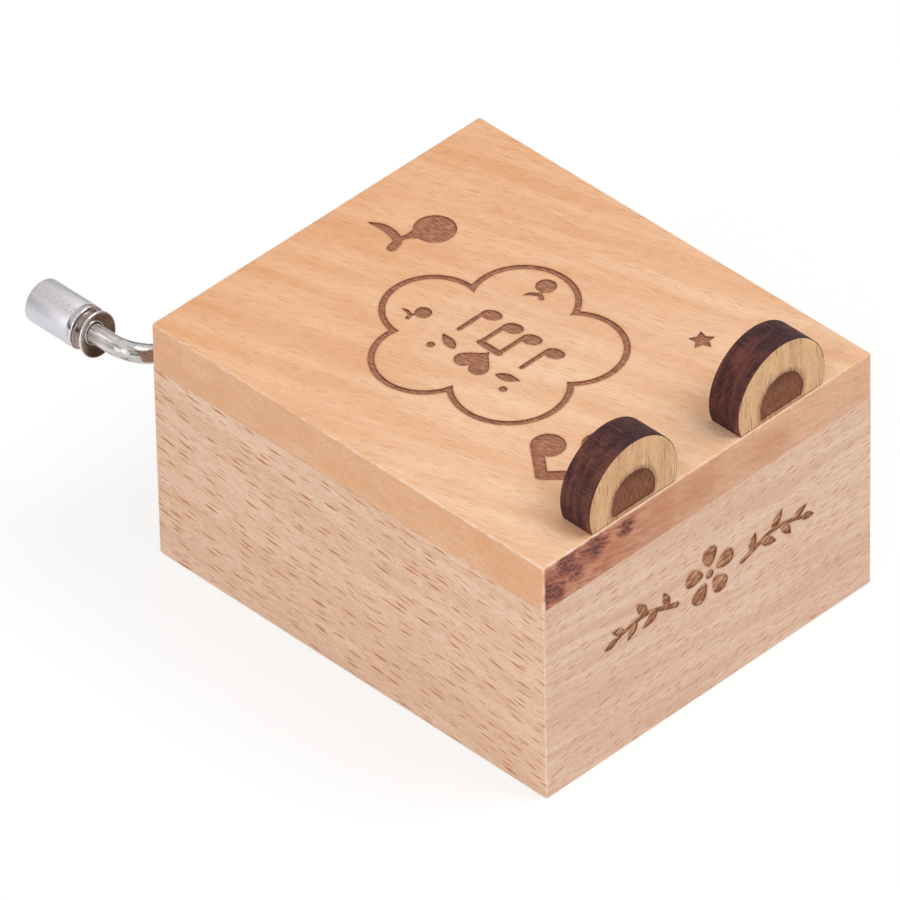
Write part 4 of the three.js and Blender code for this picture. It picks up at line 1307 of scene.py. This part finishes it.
def lid():
    low, high = lid_low, lid_high
    levels = [(low.z + joint_round * rise, joint_round * inset, 0) for rise, inset, _ in quarter(arc_steps)]
    levels += [
        (high.z - lid_edge_round * drop, lid_edge_round * inset, rub_and_highlight)
        for inset, drop, rub_and_highlight in quarter(arc_steps)
    ]
    rings = []
    wear_and_highlight_rows = []
    # Pale edges and corners of the lid: rubbed wear with a painted highlight, strongest along the left edge
    # towards the front.
    corner_rub_and_highlight = [math.sin(math.pi * i / arc_steps) for i in range(arc_steps + 1)] * 4
    for z, inset, rub_and_highlight in levels:
        outline = rounded_rectangle(high.x - inset, high.y - inset, lid_corner_round - inset)
        rings.append([Vector((x, y, z)) for x, y in outline])
        rubbed_and_highlit = []
        for (x, y), here in zip(outline, corner_rub_and_highlight):
            on_left = x < -high.x + lid_corner_round
            towards_front = (1.0 if y < 0 else 0.6) if on_left else 0.15
            rubbed_and_highlit.append(max(rub_and_highlight * towards_front, 0.8 * here))
        wear_and_highlight_rows.append(rubbed_and_highlit)
    mesh = start_mesh()
    made = stack(mesh, rings, wear_and_highlight_rows)
    mesh.faces.new(reversed(made[0]))
    burn(
        mesh, made[-1], lid_ornaments(),
        lambda point: Vector((point.x, point.y)) / mm,
        lambda point, depth: Vector((point.x * mm, point.y * mm, high.z - depth * mm)),
        burn_depth, burn_fringe,
    )
    along = (0.276, -0.961, 0)
    across = (0.961, 0.276, 0)
    grain = wood(
        "lid_beech", along, across, (245, 198, 158), (234, 178, 134), (208, 138, 86),
        (3.4, 0.24), 0.4, 0.62, streak_width=3.0, fibre_size=(1.5, 0.15), fibre_strength=0.32,
        start=(2, 9, 4), cloud_strength=0.2, end_tone=(206, 162, 134), edge_tone=(0.915, 0.953, 0.99),
        edge_flecks=0.0, marks=lid_stains_and_painted_light,
    )
    burned = scorched(
        "lid_burn", along, across, (144, 90, 69), (188, 132, 103), (212, 156, 120),
        streak=(1.0, 0.2, 0.2), share=0.35, wall_char_and_shade=0.45,
    )
    finish_piece("lid_board", mesh, [grain, burned], "box", "beech", "lid")


lid()


# Ears
# Two discs of pale board cut flat below their middle and glued on edge along the front of the lid. The laser
# that cut them left the rim charred dark brown, and burned a half-round mark into each front face.

ear_edge_round = 0.12 * mm
ear_edge_steps = 3
ear_depth_steps = 14
ear_sides = 120
ear_unevenness = 0.02 * mm
ear_mark_radius = 3.5
ear_mark_drop = 0.7
ear_mark_foot = 1.3
ear_mark_depth = 0.12
ear_mark_fringe = 0.7


def ear_outline(radius, rise, steps):
    """A disc about the origin, cut flat at rise below it."""
    half = math.degrees(math.asin(rise / radius))
    return arc((0, 0), radius, -half, 180 + half, steps)


def ear(name, face_wood, rim_char, mark_burn):
    """One ear, its rings stacked from back to front; along them each point knows where on the rim it lies."""
    low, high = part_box(name)
    radius = (high.x - low.x) / 2
    middle = Vector(((low.x + high.x) / 2, 0, high.z - radius))
    rise = middle.z - low.z
    depth = high.y - low.y - 2 * ear_edge_round
    edge = quarter(ear_edge_steps)
    levels = [(high.y - ear_edge_round * back, ear_edge_round * inset) for back, inset, _ in edge]
    levels += [
        (high.y - ear_edge_round - depth * i / ear_depth_steps, 0) for i in range(1, ear_depth_steps)
    ]
    levels += [(low.y + ear_edge_round * ahead, ear_edge_round * inset) for inset, ahead, _ in edge]
    rings = []
    for y, inset in levels:
        ring = []
        for point in ear_outline(radius - inset, rise - inset, ear_sides):
            place = Vector((middle.x + point.x, y, middle.z + point.y))
            if inset == 0 and point.y > -rise + 0.1 * mm:
                uneven = noise.noise(Vector((place.x, place.y * 0.15, place.z)) * 1600) - 1
                place += Vector((point.x, 0, point.y)).normalized() * (uneven * ear_unevenness)
            ring.append(place)
        rings.append(ring)
    mesh = start_mesh()
    around = mesh.verts.layers.float_vector.new("around")
    made = stack(mesh, rings)
    for ring in made:
        for i, vertex in enumerate(ring):
            vertex[around] = (i * math.pi * radius / ear_sides / mm, vertex.co.y / mm, middle.x / mm)
    for face in mesh.faces:
        face.material_index = 2
    mesh.faces.new(reversed(made[0]))
    mark = [point - Vector((0, ear_mark_drop)) for point in ear_outline(ear_mark_radius, ear_mark_foot, 48)]
    burn(
        mesh, made[-1], [[mark]],
        lambda point: Vector((point.x - middle.x, point.z - middle.z)) / mm,
        lambda point, sunk: Vector((middle.x + point.x * mm, low.y + sunk * mm, middle.z + point.y * mm)),
        ear_mark_depth, ear_mark_fringe,
    )
    finish_piece(name + "_disc", mesh, [face_wood, mark_burn, rim_char], "box", "ear_wood", name)


def charred_rim():
    """Wood burned by the cutting beam: dark reddish brown in long clouds round the rim, with ridges across it
    where the beam passed, fine scratches and specks of pale dust. It is darkest on top and at the foot, and
    browner at the foot's front edge."""
    material, tree, _ = new_material("charred_rim")
    around = attribute(tree, "around", "Vector")
    parts = parts_of(tree, around)
    low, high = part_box("left_ear")
    rim_length = math.pi * (high.x - low.x) / 2 / mm
    front_edge = low.y / mm

    def charring(size, detail, tilt=0.0):
        return clouds(tree, around, size, detail, (0, 0, tilt), 0.62)

    shade = mix(
        tree, fade(tree, charring((4.0, 1.1, 3), 4.0), 0.36, 0.62), colour(110, 63, 54), colour(72, 42, 41),
    )
    blots = fade(tree, charring((1.3, 1.0, 3), 4.0), 0.5, 0.66)
    top = fade(tree, parts["X"], 0.68 * rim_length, 0.5 * rim_length)
    foot = fade(tree, parts["X"], 0.84 * rim_length, 0.97 * rim_length)
    at_front = fade(tree, parts["Y"], front_edge + 1.4, front_edge)
    ridges = charring((0.2, 3.0, 3), 3.0)
    scratches = fade(tree, charring((1.8, 0.07, 3), 2.0, 0.5), 0.6, 0.72)
    dust = fade(tree, charring((0.15, 0.13, 3), 3.0), 0.62, 0.74)
    for tone, *shares in (
        ((46, 28, 30), blots, 0.5),
        ((50, 36, 42), calc(tree, "MAXIMUM", top, foot), 0.5),
        ((138, 82, 60), foot, at_front, 0.7),
        ((44, 25, 25), fade(tree, ridges, 0.52, 0.7), 0.4),
        ((150, 92, 76), fade(tree, ridges, 0.46, 0.3), 0.25),
        ((170, 126, 112), scratches, 0.35),
        ((196, 158, 142), dust, 0.6),
    ):
        shade = coat(tree, shade, tone, *shares)
    relief = calc(tree, "ADD", ridges, product(tree, blots, 0.5))
    set_shader(
        tree, base_color=shade, roughness=0.7, specular_ior_level=0.15,
        normal=bumps(tree, relief, 0.7, 0.08 * mm),
    )
    return material


def dark_foot_line(tree, place, shade, end_grain):
    """The thin dark line along the foot of the ear's face."""
    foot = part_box("left_ear")[0].z
    line = fade(tree, parts_of(tree, place)["Z"], foot + 0.2 * mm, foot + 0.08 * mm)
    return coat(tree, shade, (96, 62, 44), line)


ear_grain = wood(
    "ear_wood", (0.02, 0, 1), (1, 0, 0), (220, 176, 128), (206, 158, 109), (124, 74, 40),
    (4.6, 0.2), 0.26, 1.0, streak_width=1.2, fibre_strength=0.34, cloud_strength=0.1, start=(1, 3, 2),
    fringe_tone=(124, 82, 59), fringe_level=1.5, marks=dark_foot_line,
)
ear_burn = scorched(
    "ear_mark_burn", (0.02, 0, 1), (1, 0, 0), (104, 62, 44), (144, 93, 66), (162, 112, 80),
    streak=(1.1, 0.11, 0.11), share=0.3, wall_char_and_shade=0.2, darker_between=(37.8 * mm, 40.2 * mm),
)
rim_char = charred_rim()
ear("left_ear", ear_grain, rim_char, ear_burn)
ear("right_ear", ear_grain, rim_char, ear_burn)


# Crank rod
# A nickel-plated steel wire, 2.4 mm thick, screwed into the movement's socket. It leaves the back wall, turns
# up across it in two bends and ends in the knob, where a turned neck holds the knob's crimp.

rod_radius = 1.22 * mm
rod_bend_radius = 3.8 * mm
rod_bend_steps = 16
rod_sides = 40
rod_spigot_radius = 0.8 * mm
rod_neck_radius = 0.77 * mm
rod_neck_width = 0.9 * mm
rod_chamfer = 0.2 * mm
neck_slope = 0.1 * mm
knob_low, knob_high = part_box("crank_knob")
knob_flange = 0.5 * mm
knob_groove_width = 1.4 * mm


def rod_path():
    """Centre line of the rod with its radius: out of the wall, up across the back and out into the knob."""
    knob_x = (knob_low.x + knob_high.x) / 2
    knob_z = (knob_low.z + knob_high.z) / 2
    arm_y = frame["joints"][0]["pos_m"][1]
    rod_low, rod_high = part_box("crank_rod")
    socket_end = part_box("worm_shaft")[1].y
    out = Vector((0, 1, 0))
    first = Vector((shaft_x, arm_y, shaft_z))
    second = Vector((knob_x, arm_y, knob_z))
    along = (second - first).normalized()
    points = [
        (Vector((shaft_x, rod_low.y, shaft_z)), rod_spigot_radius),
        (Vector((shaft_x, socket_end, shaft_z)), rod_spigot_radius),
        (Vector((shaft_x, socket_end + neck_slope, shaft_z)), rod_radius),
    ]
    for corner, arriving, leaving in ((first, out, along), (second, along, out)):
        centre = corner - arriving * rod_bend_radius + leaving * rod_bend_radius
        for i in range(rod_bend_steps + 1):
            turn = i / rod_bend_steps * math.pi / 2
            spoke = arriving * math.sin(turn) - leaving * math.cos(turn)
            points.append((centre + spoke * rod_bend_radius, rod_radius))
    neck_middle = knob_low.y + knob_flange + knob_groove_width / 2
    for y, radius in (
        (neck_middle - rod_neck_width / 2 - neck_slope, rod_radius),
        (neck_middle - rod_neck_width / 2, rod_neck_radius),
        (neck_middle + rod_neck_width / 2, rod_neck_radius),
        (neck_middle + rod_neck_width / 2 + neck_slope, rod_radius),
        (rod_high.y - rod_chamfer, rod_radius),
        (rod_high.y, rod_radius - rod_chamfer),
    ):
        points.append((Vector((knob_x, y, knob_z)), radius))
    return points


def swept_rod_tree():
    """A round bar along a curve, as thick at each point as the curve says."""
    tree = bpy.data.node_groups.new("swept_rod", "GeometryNodeTree")
    input_named(tree, "Path", "NodeSocketGeometry", None)
    ids = {
        "sides": input_named(tree, "Sides", "NodeSocketInt", rod_sides),
        "finish": input_named(tree, "Finish", "NodeSocketMaterial", None),
    }
    given = add_node(tree, "NodeGroupInput").outputs
    section = add_node(tree, "GeometryNodeCurvePrimitiveCircle", {
        "Resolution": given["Sides"], "Radius": 1.0,
    })

    def kept(line, name, kind, value):
        inputs = {"Geometry": line, "Name": name, "Value": value}
        return add_node(tree, "GeometryNodeStoreNamedAttribute", inputs, data_type=kind).outputs[0]

    position = add_node(tree, "GeometryNodeInputPosition").outputs[0]
    length = add_node(tree, "GeometryNodeSplineParameter").outputs["Length"]
    bar = add_node(tree, "GeometryNodeCurveToMesh", {
        "Curve": kept(given["Path"], "length", "FLOAT", length),
        "Profile Curve": kept(section.outputs["Curve"], "spoke", "FLOAT_VECTOR", position), "Fill Caps": True,
    })
    if "Scale" in bar.inputs:
        tree.links.new(add_node(tree, "GeometryNodeInputRadius").outputs[0], bar.inputs["Scale"])
    end_tree(tree, bar.outputs[0], given["Finish"], "Rod")
    return tree, ids


def drawn_nickel():
    """Nickel over drawn wire: lengthwise drawing lines, dull patches and a few dark patches that are painted
    reflections. Close to the knob the wire is ridged, and duller, with its ridges painted pale as highlights."""
    material, tree, place = new_material("crank_nickel")
    spoke = parts_of(tree, attribute(tree, "spoke", "Vector"))
    along = calc(tree, "DIVIDE", attribute(tree, "length"), rod_radius)
    flat = add_node(tree, "ShaderNodeCombineXYZ", {"X": spoke["X"], "Y": spoke["Y"], "Z": along}).outputs[0]

    def drawn(size, detail):
        return clouds(tree, flat, size, detail, roughness=0.6)

    lines = drawn((0.1, 0.1, 2.5), 3.0)
    patches = drawn((0.5, 0.5, 1.1), 4.0)
    ridges = fade(tree, drawn((0.16, 0.16, 4), 2.0), 0.4, 0.6)
    at_knob = fade(tree, parts_of(tree, place)["Y"], knob_low.y - 4 * mm, knob_low.y - mm)
    shade = mix(tree, lines, colour(172, 167, 164), colour(222, 218, 215))
    # Dark patches on the wire: painted reflections.
    shade = coat(tree, shade, (112, 106, 106), fade(tree, patches, 0.52, 0.62), 0.7)
    # Near the knob the ridges are painted as pale and grey lines: a painted highlight.
    shade = coat(tree, shade, mix(tree, ridges, colour(176, 166, 162), colour(255, 251, 248)), at_knob)
    rough = calc(tree, "MULTIPLY_ADD", fade(tree, patches, 0.35, 0.65), 0.12, 0.12)
    relief = calc(tree, "ADD", lines, product(tree, patches, 2.0))
    relief = calc(tree, "MULTIPLY_ADD", product(tree, at_knob, ridges), 4.0, relief)
    set_shader(
        tree, base_color=shade, metallic=calc(tree, "MULTIPLY_ADD", at_knob, -0.5, 1.0),
        roughness=calc(tree, "MULTIPLY_ADD", at_knob, 0.2, rough),
        normal=bumps(tree, relief, 0.35, 0.03 * mm),
    )
    return material


def crank_rod():
    points = rod_path()
    line = bpy.data.curves.new("rod_path", "CURVE")
    line.dimensions = "3D"
    spline = line.splines.new("POLY")
    spline.points.add(len(points) - 1)
    for handle, (place, radius) in zip(spline.points, points):
        handle.co = (*place, 1)
        handle.radius = radius
    base = add_object("rod_path", line)
    tree, ids = swept_rod_tree()
    data = made_by(tree, base, {ids["sides"]: rod_sides, ids["finish"]: drawn_nickel()})
    add_piece("crank_wire", data, "crank", "crank_nickel", "crank_rod", smooth_below=40)


crank_rod()


# Crank knob
# A turned aluminium cap that spins on the rod's end. Its open end is countersunk round a raised lip. A groove
# behind the flange is rolled in until it holds in the rod's neck, which left the flange leaning a little.
# The barrel keeps a satin finish with faint lengthwise streaks.

knob_radius = (knob_high.x - knob_low.x) / 2
knob_length = knob_high.y - knob_low.y
knob_middle = Vector(((knob_low.x + knob_high.x) / 2, knob_low.y, (knob_low.z + knob_high.z) / 2))
knob_edge = 0.18 * mm
knob_end_edge = 0.3 * mm
knob_flange_lean = math.tan(math.radians(10))
knob_bore = rod_radius + 0.08 * mm
knob_bore_depth = 6.6 * mm
knob_countersink = 0.85 * mm
knob_lip_top = knob_countersink - 0.3 * mm
knob_lip_width = 0.26 * mm
knob_lip_edge = 0.12 * mm
knob_groove_radius = knob_radius - 0.5 * mm
knob_groove_end = knob_flange + knob_groove_width
knob_rings = [(0.36 * mm, 0.12 * mm), (0.8 * mm, 0.05 * mm)]
knob_ring_width = 0.2 * mm
knob_ring_slope = 0.06 * mm


def knob_profile():
    """The outline from the bottom of the bore out over lip, dish, flange, groove and barrel to the end."""
    profile = [
        (0, knob_bore_depth), (knob_bore, knob_bore_depth), (knob_bore, knob_countersink + 0.3 * mm),
    ]

    def ease(first, corner, last, steps=4):
        """Goes on with a rounded corner between two points."""
        for i in range(steps + 1):
            t = i / steps
            profile.append(tuple(
                (1 - t) ** 2 * a + 2 * t * (1 - t) * b + t * t * c for a, b, c in zip(first, corner, last)
            ))

    radius = knob_radius
    groove = knob_groove_radius
    flange = knob_flange
    barrel = knob_groove_end
    edge = knob_edge
    lip = knob_bore + knob_lip_width
    lip_middle = (knob_bore + knob_lip_width / 2, knob_lip_top)
    ease((knob_bore, knob_lip_top + knob_lip_edge), (knob_bore, knob_lip_top), lip_middle)
    ease(lip_middle, (lip, knob_lip_top), (lip, knob_lip_top + knob_lip_edge))
    ease((radius - edge * 1.6, 0.06 * mm), (radius - edge, 0), (radius - edge * 0.6, 0.03 * mm))
    ease((radius - edge * 0.4, 0.05 * mm), (radius, 0.1 * mm), (radius, 0.2 * mm))
    ease((radius, 0.24 * mm), (radius, 0.34 * mm), (radius - edge, 0.4 * mm))
    ease((groove + edge / 2, flange - 0.02 * mm), (groove, flange), (groove, flange + edge))
    ease((groove, barrel - edge), (groove, barrel), (groove + edge, barrel))
    ease((radius - edge, barrel), (radius, barrel), (radius, barrel + edge))
    for beyond, depth in knob_rings:
        near = barrel + beyond
        far = near + knob_ring_width
        profile.extend([
            (radius, near), (radius - depth, near + knob_ring_slope),
            (radius - depth, far - knob_ring_slope), (radius, far),
        ])
    end = knob_length
    ease((radius, end - knob_end_edge), (radius, end), (radius - knob_end_edge, end), 6)
    return profile + [(0, end)]


def satin_aluminium():
    """Satin on the barrel with streaks and a darker, pitted band on its upper side that is a painted
    reflection, bright rings and lips, a dish painted brown as a reflection of the box and a groove painted
    dark as shade, the dish with a painted highlight on one side and painted shade below."""
    material, tree, place = new_material("knob_satin")

    def spread(size, detail=3.0):
        return clouds(tree, place, Vector(size) * mm, detail, roughness=0.6)

    streaks = spread((0.2, 9, 0.2))
    from_axis = vector_calc(tree, "SUBTRACT", place, knob_middle)
    parts = parts_of(tree, from_axis)
    reflection_band_side = Vector((-0.35, 0, 0.94)) / knob_radius
    lean = vector_calc(tree, "DOT_PRODUCT", from_axis, reflection_band_side, result="Value")
    reflection_band_pits = product(tree, fade(tree, lean, 0.955, 0.99), fade(tree, spread((0.13, 0.22, 0.13)), 0.48, 0.62))
    shade = mix(tree, streaks, colour(202, 199, 205), colour(226, 224, 230))
    # A darker band with fine pits along the barrel's upper side: a painted reflection.
    shade = coat(tree, shade, (190, 180, 174), fade(tree, lean, 0.75, 0.97), 0.4)
    shade = coat(tree, shade, (146, 134, 126), reflection_band_pits, 0.45)

    across = vector_calc(tree, "MULTIPLY", from_axis, (1, 0, 1))
    reach = vector_calc(tree, "LENGTH", across, result="Value")
    lip = knob_bore + knob_lip_width
    inside = product(
        tree, fade(tree, reach, knob_radius - 0.12 * mm, knob_radius - 0.26 * mm),
        fade(tree, reach, lip - 0.02 * mm, lip + 0.06 * mm),
    )
    from_flange = calc(tree, "MULTIPLY_ADD", parts["Z"], -knob_flange_lean, parts["Y"])
    dish = product(tree, fade(tree, from_flange, knob_countersink + 0.3 * mm, knob_countersink), inside)
    in_groove = product(
        tree, fade(tree, from_flange, knob_flange * 0.85, knob_flange + 0.15 * mm),
        fade(tree, parts["Y"], knob_groove_end + 0.05 * mm, knob_groove_end - 0.1 * mm),
    )
    # The brown of the dish and the groove is painted: a reflection of the box in the dish, shade in the
    # groove.
    brown_reflection_and_shade = mix(tree, spread((1.1, 1.1, 1.1)), colour(96, 80, 71), colour(160, 141, 128))
    painted_highlight_side = product(
        tree, fade(tree, parts["X"], 0.3 * knob_radius, -0.9 * knob_radius),
        fade(tree, parts["Z"], -0.9 * knob_radius, 0.1 * knob_radius),
    )
    painted_shade_below = fade(tree, parts["Z"], 0.1 * knob_radius, -0.8 * knob_radius)
    # A painted highlight on the dish's left and painted shade below it.
    dish_shade = coat(tree, brown_reflection_and_shade, (208, 190, 175), painted_highlight_side)
    dish_shade = coat(tree, dish_shade, (66, 54, 48), painted_shade_below, 0.7)
    shade = coat(tree, shade, dish_shade, dish)
    shade = coat(tree, shade, brown_reflection_and_shade, in_groove, inside, 0.9)

    bright = 0.14
    satin = fade(tree, parts["Y"], knob_groove_end + 0.8 * mm, knob_groove_end + 0.9 * mm)
    rough = calc(tree, "SUBTRACT", calc(tree, "MULTIPLY_ADD", streaks, 0.2, 0.36), bright)
    rough = calc(tree, "MULTIPLY_ADD", satin, rough, bright)
    set_shader(
        tree, base_color=shade, metallic=1, roughness=calc(tree, "MAXIMUM", rough, product(tree, dish, 0.42)),
        normal=bumps(tree, calc(tree, "SUBTRACT", streaks, reflection_band_pits), 0.2, 0.02 * mm),
    )
    return material


def knob():
    mesh = start_mesh()
    lathe(mesh, knob_profile(), knob_middle, (0, 1, 0), 96)
    for vertex in mesh.verts:
        free = max(0.0, min(1.0, (knob_groove_end - vertex.co.y + knob_middle.y) / knob_groove_width))
        vertex.co.y += knob_flange_lean * (vertex.co.z - knob_middle.z) * free
    bmesh.ops.remove_doubles(mesh, verts=mesh.verts, dist=1e-8)
    bmesh.ops.recalc_face_normals(mesh, faces=mesh.faces)
    finish_piece("knob_cap", mesh, [satin_aluminium()], "knob", "knob_metal", "crank_knob", smooth_below=40)


knob()
